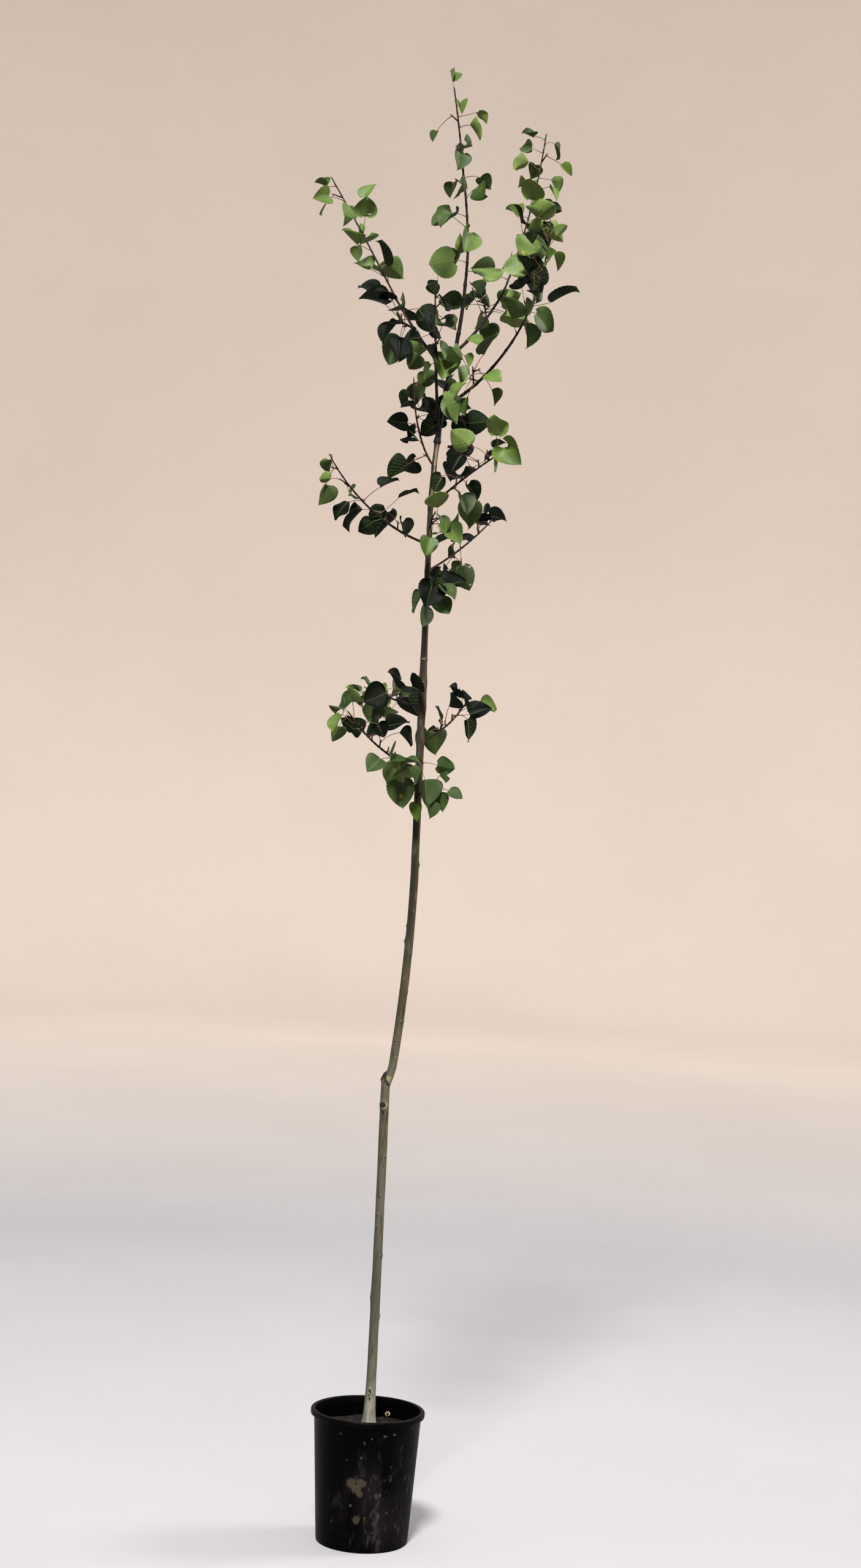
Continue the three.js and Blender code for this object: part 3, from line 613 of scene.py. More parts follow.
# Knots with a raised rim, and domed knots, as (height, side in degrees, half height, half width, rise)
RIMMED_KNOTS = [(242.4, 263, 6.5, 4.2, 0.7), (711, 252, 6.2, 6, 1.5)]
DOMED_KNOTS = [
    (238, 296, 2, 1.6, 0.4), (366, 2, 4.5, 4, 1.2), (396, 188, 13, 6, 1.2), (466, 322, 5.5, 5, 1.3),
    (511, 241, 3, 3, 0.8), (531, 238, 3, 3, 0.8), (562, 261, 2.5, 3, 0.5), (626, 302, 3, 3, 0.9),
    (750, 318, 11, 6, 1.5), (815, 252, 3, 3, 0.7), (850, 316, 3, 4, 0.8), (898, 328, 3.5, 3.5, 1),
    (918, 237, 3, 3, 0.7), (959, 308, 3.5, 3.5, 0.9), (980, 180, 4, 3.5, 1.3), (1005, 190, 3.5, 3, 0.8),
    (1030, 272, 3, 3, 0.8), (1105, 2, 4, 4, 1.4), (1180, 95, 3.5, 3, 0.9), (640, 80, 4, 4, 1),
    (480, 120, 4, 4, 1), (890, 110, 3.5, 3.5, 0.9), (330, 60, 4, 4, 0.9), (1240, 20, 4, 4, 1),
]
# Swellings that run round the whole stem, as (height, half height, rise)
COLLARS = [
    (1307, 9, 0.7), (1262, 7, 0.5), (1362, 9, 0.6), (1404, 9, 0.8), (1441, 1.5, 0.6), (1545, 6, 0.5),
    (1585, 7, 0.6), (1628, 7, 0.6), (1655, 5, 0.4), (1690, 7, 0.6), (1755, 6, 0.5), (1797, 8, 1.3),
]
# Dark scars on the bark, as (height, side, half height, half width)
SCARS = [
    (246, 257, 2.6, 1.3), (238.5, 258, 2.4, 1.2), (243, 269, 3.4, 1.1), (232, 262, 3, 1.3),
    (239, 297, 1.2, 1), (366, 352, 2, 1.8), (396, 190, 2.6, 1.6), (466, 318, 2.2, 2.4),
    (511, 241, 1.4, 1.6), (531, 240, 1.4, 1.6), (562, 261, 1, 1.8), (626, 302, 1.5, 1.7),
    (711, 252, 4.8, 4.8), (699.5, 258, 3.4, 2.2), (815, 252, 1.6, 1.5), (850, 322, 1.6, 1.8),
    (897, 328, 1.8, 1.6), (918, 237, 1.6, 1.4), (959, 310, 1.8, 1.6), (978, 184, 2, 1.6),
    (1004, 192, 1.8, 1.4), (1030, 272, 1.6, 1.4), (1105, 352, 2, 1.6), (1180, 95, 1.8, 1.5),
    (640, 80, 1.8, 1.6), (480, 120, 2, 1.8), (890, 110, 1.7, 1.5), (330, 60, 1.8, 1.6), (776, 301, 1.3, 1.2),
]
# Pale callus and leaf traces
PALE_MARKS = [
    (250, 262, 1.2, 1.8), (776, 287, 1, 1.8), (792, 300, 0.7, 3.6), (850, 300, 0.6, 2.6),
    (813, 240, 0.8, 1.2), (813, 266, 0.8, 1.2), (1441, 270, 0.9, 5), (1404, 262, 0.8, 3), (626, 290, 0.6, 2),
    (466, 304, 0.8, 2.2), (366, 338, 0.8, 2), (918, 252, 0.6, 2), (1030, 287, 0.6, 2),
]
# Tan wood where the bark has rubbed away near the top
BARE_WOOD = [(1758, 286, 44, 2), (1712, 282, 16, 1.2)]
# Pieces of marks: name, finish, rows, lift off the bark and raggedness of the edge
MARKS = [
    ("scars", "scar", SCARS, 0.5, 0.2),
    ("callus_marks", "callus", PALE_MARKS, 0.4, 0.5),
    ("bare_wood", "bare_wood", BARE_WOOD, 0.25, 0.6),
]
MARK_SPOKES = 20
MARK_SEED, MARK_SEED_STEP = 31, 7
# How far a patch sinks at its edge and at its back
PATCH_EDGE = 0.12
PATCH_BACK = 0.6

# Blades: rows and columns of the mesh, half thickness, teeth and outline, as shares of the length or width
BLADE_ROWS = 24
BLADE_COLUMNS = (-1, -0.86, -0.58, -0.28, 0, 0.28, 0.58, 0.86, 1)
BLADE_SPAN = 0.494
BLADE_HALF = 0.16
TOOTH_DEPTH = 0.02
BLADE_BROAD = 1.13
FULL_BASE, FULL_TIP, OUTLINE_PEAK = 0.36, 0.8, 0.4875
DRIP_START, DRIP_LENGTH, DRIP_WIDTH = 0.97, 0.15, 0.08
# Veins: where they leave the midrib, how far they run ahead, pitch and depth of the folds between them
VEIN_FEET = (0.01, 0.15, 0.31, 0.47, 0.62)
VEIN_REACH = 0.42
VEIN_RADIUS = 0.25
RIB_WIDTHS = (2.4, 0.7)
SIDE_WIDTHS = (0.95, 0.5)
VEIN_PITCH = 0.155
VEIN_DEPTH = 0.011
VEIN_STEPS = (0, 0.28, 0.58, 0.86)
LOW_VEIN_STEPS = (0, 0.14, 0.28, 0.42, 0.58, 0.72, 0.86)
RIB_STEPS = 12
STALK_GIRTH = 0.72
STALK_STEPS = 8
STALK_SWELL = (1.5, 1.15)
STALK_WIDTH = 0.9
STALK_FLAT = 0.32
# Looks of a leaf that the rule leaves open, in the order they are drawn: smallest, largest, power of the draw
LEAF_LOOKS = {
    "lobe": (0.02, 0.08, 1), "wave": (0.01, 0.09, 1.6), "waves": (4, 9, 1), "phase": (0, 6, 1),
    "roll": (-0.05, 0.2, 2), "sway": (-0.09, 0.09, 1), "screw": (-0.2, 0.2, 1), "blush": (0, 1, 1),
    "crease": (0, 0.7, 3),
}
LOOK_SEED = 11
OTHER_HALF = 1.7
RED_STALKS = 0.55
HOLED_LEAVES = 0.07
# Greens of the sprays: light, mid and dark, partly the leaves' own tones and partly painted light and shade
LEAF_GREENS_AND_SHADES = ("light", "mid", "dark")
TINT_SEED = 5
# Buds: shape as (share of the length, share of the radius); length and radius on a shoot's tip, spur and side
BUD_PROFILE = (
    (0, 0.6), (0.14, 1), (0.3, 1.05), (0.34, 0.92), (0.55, 0.8), (0.6, 0.66), (0.82, 0.36), (1, 0.06),
)
TIP_BUD = (6.5, 1.25)
SPUR_BUD = (4.6, 1.25)
SIDE_BUD = (4.2, 0.95)


def spread_evenly(points, radii, step):
    """Points at even steps along a route, with the radius at each."""
    made, sizes = [points[0]], [radii[0]]
    left = step
    for a, b, start, end in zip(points, points[1:], radii, radii[1:]):
        span = sub(b, a)
        length = size(span)
        while left <= length:
            made.append(move(a, span, left / length))
            sizes.append(along(start, end, left / length))
            left += step
        left -= length
    return made + [points[-1]], sizes + [radii[-1]]


def eased(values, window):
    """Moving average, with a window that narrows towards both ends."""
    made = []
    for i in range(len(values)):
        reach = min(window, i, len(values) - 1 - i)
        part = values[i - reach:i + reach + 1]
        made.append(tuple(sum(axis) / len(part) for axis in zip(*part)))
    return made


def route(points, radii, side=None):
    """Stations of a tube along points: each with its direction and a side that doesn't twist."""
    stations = []
    for i, (point, radius) in enumerate(zip(points, radii)):
        ahead = unit(sub(points[min(i + 1, len(points) - 1)], points[max(i - 1, 0)]))
        side = side or square_to(ahead)
        side = unit(sub(side, mul(ahead, dot(side, ahead))))
        stations.append((point, ahead, side, radius))
    return stations


def fine_route(line, pitch, window, side=None):
    """Smooth stations along a limb of the rule, from inside its parent to its tip."""
    points = [s.point for s in line.stations]
    radii = [s.radius for s in line.stations]
    if line.root:
        points.insert(0, line.root)
        radii.insert(0, radii[0])
    points, radii = spread_evenly(points, radii, pitch)
    radii = [r[0] for r in eased([(r,) for r in radii], window)]
    return route(eased(points, window), radii, side)


def closeness(distance):
    return exp(-distance * distance)


def ripple(x, y, z):
    return noise.noise(Vector((x, y, z)))


def bark_relief(angle, height, radius):
    """How far the bark stands out, in millimetres, at an angle and a height."""
    low = (height - MIX_LEVEL) / ROOT_FLARE_HEIGHT
    rise = radius * ROOT_LOBE_DEPTH * max(0, 1 - low) * cos(angle * ROOT_LOBES + ROOT_LOBE_START)
    for depth, across, up in BARK_WAVES:
        rise += depth * ripple(cos(angle) * across, sin(angle) * across, height * up)
    for level, half, out in COLLARS:
        if abs(height - level) < MARK_REACH * half:
            rise += out * closeness((height - level) / half)
    for knots, rim, soft in ((RIMMED_KNOTS, 1, RIM_SOFT), (DOMED_KNOTS, 0, 1)):
        for level, side, tall, wide, out in knots:
            if abs(height - level) <= MARK_REACH * tall:
                turned = (angle - side * RAD + pi) % FULL_TURN - pi
                far = hypot((height - level) / tall, turned * radius / wide)
                rise += out * closeness((far - rim) / soft)
    return rise


class Trunk:
    """The trunk's fine surface, which marks are set on."""

    def __init__(self):
        fine = Line(TRUNK_FOOT, TRUNK, TRUNK_PITCH)
        foot = fine.stations[0]
        fine.stations.insert(0, changed(foot, point=add(foot.point, (0, 0, -TRUNK_SUNK))))
        self.stations = fine_route(fine, TRUNK_PITCH, TRUNK_EASE, (1, 0, 0))
        self.heights = [station[0][2] for station in self.stations]

    def surface(self, angle, place, lift=0):
        point, ahead, side, radius = self.stations[place]
        reach = radius + bark_relief(angle, point[2], radius) + lift
        return add(point, swing(side, cross(ahead, side), angle, reach))

    def over(self, angle, height, lift):
        """Point over the bark at any height, between the stations."""
        place, t = locate(self.heights, height)
        return between(self.surface(angle, place - 1, lift), self.surface(angle, place, lift), t)

    def marks(self, rows, lift, ragged):
        shape = Shape()
        for number, (height, side, tall, wide) in enumerate(rows):
            radius = self.stations[locate(self.heights, height)[0]][3]

            def surface(across, up, out):
                return self.over(side * RAD + across / radius, height + up, out)

            seed = MARK_SEED + number * MARK_SEED_STEP
            add_patch(shape, surface, (wide, tall), lift, MARK_SPOKES, ragged, seed)
        return shape


def add_patch(shape, surface, half, lift, spokes, ragged, seed, rings=4):
    """Low dome on a surface(across, up, lift), closed underneath, with a ragged or an even edge."""
    roll = dice(seed)
    edge = [1 + ragged * (roll() - 0.5) for _ in range(spokes)]
    points = [surface(0, 0, lift)]
    for ring in range(1, rings + 1):
        share = ring / rings
        out = lift * (1 - share * share) - PATCH_EDGE * share
        for angle, rag in zip(angles(spokes), edge):
            reach = share * along(1, rag, share)
            points.append(surface(half[0] * reach * cos(angle), half[1] * reach * sin(angle), out))
    points.append(surface(0, 0, -PATCH_BACK))
    faces, last = [], len(points) - 1 - spokes
    for i in range(spokes):
        j = (i + 1) % spokes
        faces.append((0, 1 + i, 1 + j))
        for a in range(1, last, spokes):
            faces.append((a + i, a + spokes + i, a + spokes + j, a + j))
    faces += [(len(points) - 1, last + (i + 1) % spokes, last + i) for i in range(spokes)]
    shape.put(points, faces)


def build_trunk(trunk):
    places = range(len(trunk.stations))
    points = [trunk.surface(angle, place) for place in places for angle in angles(TRUNK_ROUND)]
    return Shape().put_rings(points, TRUNK_ROUND)


def build_stub(line):
    """Pruned stub beside the kink: its bark, and the dark weathered face of the cut."""
    stub = Line(line.at("height", STUB_HEIGHT).point, STUB, STUB_STEP)
    bark, cut = Shape(), Shape()
    stations = fine_route(stub, STUB_PITCH, 1)
    x, y, _ = stations[-1][0]

    def rough(angle, number):
        return 1 + STUB_ROUGH * ripple(cos(angle) * 1.7, sin(angle) * 1.7, number * 0.16)

    def level(p):
        return CUT_LEVEL + CUT_RISE * p[0] + CUT_TILT * (p[1] - y)

    bark.tube(stations, STUB_ROUND, rough)
    bark.points = [(p[0], p[1], min(p[2], level(p))) for p in bark.points]
    facing, slant = unit((-CUT_RISE, -CUT_TILT, 1)), unit((1, 0, CUT_RISE))

    def face(along_cut, across, out):
        foot = move((x, y, level((x, y))), slant, along_cut)
        return add(foot, add(mul(cross(facing, slant), across), mul(facing, out + 0.1)))

    add_patch(cut, face, CUT_HALF, CUT_DOME, 22, 0.3, 5, rings=5)
    return bark, cut


def add_limb(shape, stations, sides, nodes, stout, seed):
    """Bough or shoot with a collar at its foot, swollen nodes and fine wrinkles."""
    walked = [0]
    for a, b in zip(stations, stations[1:]):
        walked.append(walked[-1] + size(sub(b[0], a[0])))

    def relief(angle, number):
        far = walked[number]
        swell = FOOT_SWELL * closeness(far / FOOT_SPAN) + LIMB_WAVES * ripple(seed, far * 0.12, angle * 0.4)
        swell += sum(NODE_SWELL * closeness((far - node * walked[-1]) / NODE_SPAN) for node in nodes)
        return stout * (1 + swell + LIMB_GRAIN * ripple(cos(angle) * 2, sin(angle) * 2, far * 0.7 + seed))

    shape.tube(stations, sides, relief)


def add_bud(shape, foot, axis, length, radius):
    """Pointed bud with the steps of its scales."""
    side = unit(square_to(axis))
    shape.tube([(move(foot, axis, length * t), axis, side, radius * wide) for t, wide in BUD_PROFILE], 8)


def add_spur(shape, twig, radius):
    """Short twig with ring scars."""
    span = sub(twig.tip, twig.foot)
    count = max(6, int(size(span) / RING_PITCH))
    points = [move(twig.foot, span, i / count) for i in range(count + 1)]
    widths = [SPUR_FOOT - SPUR_TAPER * i / count + (RING_RISE if i % 2 else 0) for i in range(count + 1)]
    shape.tube(route(points, [radius * wide for wide in widths]), 8)


def outline(u):
    """Half width of a blade in the scene, with a full base and a short drip tip."""
    wide = (u / DRIP_START) ** FULL_BASE * max(0, 1 - u / DRIP_START) ** FULL_TIP / OUTLINE_PEAK
    return 0.5 * BLADE_BROAD * max(wide, DRIP_WIDTH * min(1, (1 - u) / DRIP_LENGTH))


def blade_surface(leaf, u, t, tooth=0.0):
    """Middle of a blade's thickness: u along the midrib, t from edge to edge."""
    far = abs(t)
    share = u - leaf.lobe * t * t * (1 - u) ** 4
    half = outline(u) * leaf.size * leaf.width * t * (1 + tooth * far ** 8)
    lift = abs(half) * sin(leaf.fold) - leaf.curl * leaf.size * share * share
    wave = sin(u * leaf.waves + leaf.phase + (OTHER_HALF if t > 0 else 0))
    lift += leaf.size * leaf.wave * wave * t * t
    lift += leaf.size * leaf.roll * far ** 5 * (1 - u) * 2 + leaf.size * leaf.screw * (u - 0.3) * t
    vein = (u - VEIN_REACH * far) / VEIN_PITCH
    lift -= leaf.size * VEIN_DEPTH * cos(FULL_TURN * vein) * far * (1 - far) * 4
    flat = half * cos(leaf.fold) + leaf.size * leaf.sway * share * share
    out = add(mul(leaf.rib, leaf.size * share), mul(leaf.across, flat))
    return add(leaf.base, move(out, leaf.normal, lift))


def dress_leaf(leaf, seed):
    """Looks of one leaf that the rule leaves open, from numbers of its own."""
    roll = dice(seed)
    for key, (low, high, power) in LEAF_LOOKS.items():
        setattr(leaf, key, along(low, high, roll() ** power))
    leaf.fold += leaf.crease
    leaf.holes = set()
    if roll() < HOLED_LEAVES:
        for _ in range(1 + int(roll() * 2)):
            leaf.holes.add((4 + int(roll() * 3) + 12 * int(roll() * 2), 1 + int(roll() * 6)))


def add_blade(shape, leaf):
    """Closed thin blade with an upper side and an underside."""
    across = len(BLADE_COLUMNS)
    half = mul(leaf.normal, BLADE_HALF)
    top, under = [], []
    for i in range(BLADE_ROWS + 1):
        u = 0.5 - BLADE_SPAN * cos(pi * i / BLADE_ROWS)
        for t in BLADE_COLUMNS:
            point = blade_surface(leaf, u, t, TOOTH_DEPTH * (i % 2 * 2 - 1))
            top.append(add(point, half))
            under.append(sub(point, half))
    cells = {(i, k) for i in range(BLADE_ROWS) for k in range(across - 1)} - leaf.holes
    low = len(top)
    upper, lower = [], []
    for i, k in sorted(cells):
        a, b = i * across + k, (i + 1) * across + k
        upper.append((a, a + 1, b + 1, b))
        lower.append((low + a, low + b, low + b + 1, low + a + 1))
        for cell, p, q in (
            ((i - 1, k), a + 1, a), ((i + 1, k), b, b + 1), ((i, k - 1), a, b), ((i, k + 1), b + 1, a + 1),
        ):
            if cell not in cells:
                lower.append((p, q, low + q, low + p))
    shape.put(top + under, upper, lower)


def add_veins(shape, leaf):
    """Midrib, and side veins that leave it in pairs."""
    shares = [i / RIB_STEPS * DRIP_START for i in range(RIB_STEPS + 1)]
    points = [blade_surface(leaf, max(0.006, u), 0) for u in shares]
    shape.tube(route(points, [VEIN_RADIUS * along(*RIB_WIDTHS, u) for u in shares]), 4)
    for foot in VEIN_FEET:
        steps = LOW_VEIN_STEPS if foot == VEIN_FEET[0] else VEIN_STEPS
        radii = [VEIN_RADIUS * along(*SIDE_WIDTHS, t) for t in steps]
        for side in (-1, 1):
            points = [blade_surface(leaf, foot + VEIN_REACH * t, side * t) for t in steps]
            shape.tube(route(points, radii), 3)


def add_stalk(shape, leaf):
    """Petiole: round at its foot and flattened across the blade."""
    points = []
    for i in range(STALK_STEPS + 1):
        t = i / STALK_STEPS
        points.append(between(between(leaf.foot, leaf.middle, t), between(leaf.middle, leaf.base, t), t))
    points.append(blade_surface(leaf, 0.05, 0))
    swell = [*STALK_SWELL] + [STALK_WIDTH] * (len(points) - len(STALK_SWELL))

    def flattened(angle, number):
        return 1 - STALK_FLAT * min(1, number / 6) * abs(cos(angle))

    shape.tube(route(points, [STALK_GIRTH * k for k in swell], leaf.across), 6, flattened)


def linear(tone):
    """Colour for a shader from red, green and blue of 0 to 255, by the usual screen curve."""
    return tuple(v / 255 / 12.92 if v <= 10 else ((v / 255 + 0.055) / 1.055) ** 2.4 for v in tone) + (1,)


class Finish:
    """A node material that is put together step by step. tone: its colour so far."""

    def __init__(self, name, roughness, specular):
        self.material = bpy.data.materials.new(name)
        self.material.use_nodes = True
        self.nodes = self.material.node_tree.nodes
        self.shader = self.nodes["Principled BSDF"].inputs
        self.plug(self.shader["Roughness"], roughness)
        self.plug(self.shader["Specular IOR Level"], specular)
        self.coordinates = self.nodes.new("ShaderNodeTexCoord").outputs
        self.place = self.coordinates["Object"]
        self.tone = None

    def plug(self, socket, value):
        if isinstance(value, bpy.types.NodeSocket):
            self.material.node_tree.links.new(value, socket)
        else:
            socket.default_value = value

    def add_node(self, kind, inputs, **settings):
        made = self.nodes.new("ShaderNode" + kind)
        for key, value in settings.items():
            setattr(made, key, value)
        for key, value in inputs.items():
            self.plug(made.inputs[key], value)
        return made

    def node(self, kind, inputs, port=0, **settings):
        """One output of a new node."""
        return self.add_node(kind, inputs, **settings).outputs[port]

    def pattern(self, kind, scale, tall, **inputs):
        """Texture of a kind, stretched upright by the inverse of tall."""
        place = self.node("Mapping", {"Vector": self.place, "Scale": (1, 1, tall)})
        return self.node(kind, {"Vector": place, "Scale": scale, **inputs})

    def noise(self, scale, tall=1, detail=4, rough=0.55):
        return self.pattern("TexNoise", scale, tall, Detail=detail, Roughness=rough)

    def specks(self, scale, tall=1):
        return self.pattern("TexVoronoi", scale, tall)

    def wobble(self, reach, scale, tall, detail=4):
        """Noise about zero."""
        return self.times(self.sum(self.noise(scale, tall, detail), -0.5), reach)

    def height(self):
        return self.node("SeparateXYZ", {"Vector": self.place}, "Z")

    def near(self, place, inner, outer):
        """1 at a place of the object, 0 beyond its reach."""
        far = self.node("VectorMath", {0: self.place, 1: place}, "Value", operation="DISTANCE")
        return self.mask(far, outer, inner)

    def sum(self, a, b, operation="ADD"):
        return self.node("Math", {0: a, 1: b}, operation=operation)

    def times(self, a, b):
        return self.sum(a, b, "MULTIPLY")

    def ramp(self, source, stops):
        made = self.add_node("ValToRGB", {"Fac": source})
        elements = made.color_ramp.elements
        while len(elements) < len(stops):
            elements.new(0.5)
        for element, (place, tone) in zip(elements, stops):
            element.position = place
            element.color = linear(tone)
        return made.outputs[0]

    def mask(self, source, low, high):
        return self.node("MapRange", {"Value": source, "From Min": low, "From Max": high})

    def mix(self, factor, a, b):
        return self.node("Mix", {"Factor": factor, 6: a, 7: b}, 2, data_type="RGBA")

    def layer(self, mask, strength, tone):
        """Lays a tone over the colour so far."""
        self.tone = self.mix(self.times(mask, strength), self.tone, linear(tone))

    def blots(self, rows, ragged, low, high, tone):
        """Patches of a tone, as (place in metres, radius, strength)."""
        for place, radius, strength in rows:
            self.layer(self.mask(self.sum(self.near(place, 0, radius), ragged), low, high), strength, tone)

    def gloss(self, source, low, high):
        spread = {"Value": source, "To Min": low, "To Max": high}
        self.plug(self.shader["Roughness"], self.node("MapRange", spread))

    def bump(self, source, strength, distance):
        relief = {"Height": source, "Strength": strength, "Distance": distance}
        self.plug(self.shader["Normal"], self.node("Bump", relief))

    def finished(self):
        self.plug(self.shader["Base Color"], self.tone)
        return self.material


def mottled(name, dark, light, scale, roughness, specular, tall, strength, depth):
    """Two tones dealt by noise, with a matching bump."""
    finish = Finish(name, roughness, specular)
    pattern = finish.noise(scale, tall)
    finish.tone = finish.ramp(pattern, [(0.34, dark), (0.66, light)])
    finish.gloss(pattern, roughness - 0.07, min(1, roughness + 0.07))
    finish.bump(pattern, strength, depth)
    return finish.finished()


# Two-tone finishes: dark, light, scale, roughness, specular, upright stretch, strength and depth of the bump
MOTTLED = {
    "young_bark": ((7, 5, 3), (19, 14, 9), 160, 0.55, 0.1, 0.4, 0.4, 0.0004),
    "twig_bark": ((13, 8, 6), (30, 18, 12), 200, 0.52, 0.1, 1, 0.35, 0.0003),
    "scar": ((9, 6, 6), (26, 19, 16), 700, 0.85, 0.25, 1, 0.6, 0.0004),
    "callus": ((94, 90, 68), (120, 114, 88), 500, 0.75, 0.3, 0.5, 0.4, 0.0004),
    "bare_wood": ((90, 78, 54), (118, 102, 74), 300, 0.7, 0.3, 0.15, 0.4, 0.0004),
    "bud": ((26, 11, 8), (54, 24, 16), 500, 0.35, 0.4, 1, 0.2, 0.0002),
    "vein": ((60, 74, 36), (78, 90, 48), 260, 0.6, 0.15, 1, 0.3, 0.0004),
    "stalk_red": ((66, 26, 19), (96, 46, 31), 90, 0.5, 0.2, 1, 0.3, 0.0004),
    "stalk_green": ((62, 58, 28), (84, 78, 40), 90, 0.5, 0.2, 1, 0.3, 0.0004),
    # Potting mix: dark soil, made near black as painted shade inside the pot
    "potting_mix": ((3, 2, 2), (13, 10, 8), 140, 0.95, 0.15, 1, 0.9, 0.0012),
    "crumbs": ((7, 5, 4), (21, 16, 12), 300, 0.95, 0.15, 1, 0.6, 0.0006),
    "bark_chips": ((15, 11, 8), (36, 26, 19), 240, 0.85, 0.25, 0.4, 0.5, 0.0006),
    "soil_flecks": ((34, 31, 28), (58, 53, 47), 420, 0.95, 0.15, 1, 0.6, 0.0004),
    "tan_flecks": ((58, 48, 34), (82, 70, 52), 420, 0.9, 0.2, 1, 0.6, 0.0004),
    "dry_scrap": ((120, 108, 78), (176, 162, 124), 300, 0.8, 0.3, 1, 0.3, 0.0004),
}
# Leaf finishes: blade, shade, roughness and specular; the light and dark greens are partly painted light and
# painted shade
GREENS = {
    "leaf_light": ((74, 93, 34), (59, 78, 27), 0.5, 0.2),
    "leaf_mid": ((48, 65, 24), (35, 50, 16), 0.5, 0.16),
    "leaf_dark": ((9, 16, 6), (4, 8, 3), 0.55, 0.05),
    "underside_light": ((88, 104, 50), (76, 92, 42), 0.62, 0.15),
    "underside_mid": ((52, 66, 30), (41, 55, 24), 0.6, 0.12),
    "underside_dark": ((17, 26, 11), (12, 19, 8), 0.58, 0.05),
}
DEEPER_SHADE = (0.55, 0.7, 0.75)
LEAF_YELLOW = (126, 124, 46)
LEAF_SPOT = (26, 22, 10)

# Bark tones by height in metres: grey foot, olive stem with two paler stretches, dark young wood above; from
# about 1 m up the dark is partly painted shade under the side shoots and crown
BARK_LOW, BARK_HIGH = 0.18, 1.82
BARK_TONES_AND_SHADE = [
    (0.19, (138, 138, 128)), (0.23, (122, 122, 110)), (0.27, (84, 84, 71)), (0.31, (72, 72, 59)),
    (0.4, (58, 58, 45)), (0.55, (73, 70, 60)), (0.66, (63, 61, 46)), (0.76, (76, 73, 60)),
    (0.88, (52, 49, 34)), (0.96, (50, 47, 32)), (1.02, (24, 24, 14)), (1.3, (19, 19, 11)),
    (1.41, (27, 23, 12)), (1.6, (18, 15, 8)), (1.8, (13, 10, 6)),
]
BARK_BROWN = (62, 47, 35)
BARK_PALE = (104, 102, 84)
# Painted shade for the stem's left side, and painted light for its right side
BARK_PAINTED_SHADE = (34, 36, 33)
BARK_PAINTED_LIGHT = (92, 78, 56)
BARK_STREAK = (30, 28, 19)
BARK_PORE = (76, 72, 56)
# Pale swollen bark beside the kink and round the knot: place in metres, radius and strength
CALLUS_TONE = (122, 112, 84)
CALLUS_PLACES = [
    ((0.0045, -0.0078, 0.7535), 0.0105, 0.8), ((0.0065, -0.007, 0.745), 0.007, 0.7),
    ((0.0035, -0.0085, 0.7105), 0.0085, 0.8),
]
# Painted shade along the crease between the stub and the stem above
CREASE_PAINTED_SHADE = (13, 10, 7)
CREASE_WIDTH = 0.0062
CREASE_PLACES = [
    (0.001, -0.0028, 0.7615), (0, -0.0036, 0.758), (0.0002, -0.0056, 0.7545),
    (0.0015, -0.0071, 0.751), (0.0035, -0.0078, 0.748), (0.0062, -0.007, 0.745),
]
# Pot: black, dust with its place and reach, smears, grey of the rubbed rim and its heights
POT_BLACK, POT_GRIME = (1, 1, 1), (5, 4, 4)
DUST_TONE, SMEAR_TONE = (32, 28, 31), (62, 55, 54)
DUST_PLACE = (0.062, -0.062, 0.075)
DUST_REACH = (0.035, 0.125)
RIM_TONE = (14, 14, 14)
RIM_BAND = (0.2045, 0.2065)
# Dried mud on the pot's front: place in metres, radius and strength
MUD_TONE = (60, 53, 43)
MUD_PATCHES = [
    ((-0.0195, -0.0795, 0.1135), 0.0135, 0.7), ((-0.0045, -0.0818, 0.1145), 0.0125, 0.7),
    ((-0.0115, -0.081, 0.106), 0.013, 0.7), ((-0.0065, -0.0808, 0.0975), 0.01, 0.7),
    ((-0.009, -0.0775, 0.054), 0.011, 0.6), ((0.022, -0.0775, 0.094), 0.008, 0.55),
]


def bark_finish():
    finish = Finish("bark", 0.72, 0.15)
    level = finish.mask(finish.sum(finish.height(), finish.wobble(0.05, 55, 0.35, 5)), BARK_LOW, BARK_HIGH)
    # Tones by height, partly painted shade on the upper stem
    stops = [((z - BARK_LOW) / (BARK_HIGH - BARK_LOW), tone) for z, tone in BARK_TONES_AND_SHADE]
    finish.tone = finish.ramp(level, stops)
    finish.layer(finish.mask(finish.noise(34, 0.4, 5, 0.6), 0.5, 0.68), 0.4, BARK_BROWN)
    finish.layer(finish.mask(finish.noise(85, 0.3, 5, 0.65), 0.56, 0.72), 0.35, BARK_PALE)
    # Painted shade on bark that faces left, and painted light on bark that faces right
    facing = finish.node("SeparateXYZ", {"Vector": finish.coordinates["Normal"]}, "X")
    finish.layer(finish.mask(facing, 0.1, -0.9), 0.5, BARK_PAINTED_SHADE)
    finish.layer(finish.mask(facing, 0.0, 0.8), 0.3, BARK_PAINTED_LIGHT)
    ragged = finish.wobble(0.6, 300, 0.6)
    finish.blots(CALLUS_PLACES, ragged, 0.25, 0.6, CALLUS_TONE)
    # Painted shade along the crease
    crease_shade = 0
    for place in CREASE_PLACES:
        crease_shade = finish.sum(finish.near(place, 0, CREASE_WIDTH), crease_shade, "MAXIMUM")
    finish.layer(finish.mask(finish.sum(crease_shade, ragged), 0.42, 0.62), 0.9, CREASE_PAINTED_SHADE)
    streaks = finish.noise(260, 0.12)
    finish.layer(finish.mask(streaks, 0.52, 0.75), 1, BARK_STREAK)
    pores = finish.specks(300, 0.7)
    finish.layer(finish.mask(pores, 0.2, 0.05), 0.55, BARK_PORE)
    finish.bump(finish.sum(streaks, finish.mask(pores, 0.25, 0.05)), 0.45, 0.0005)
    return finish.finished()


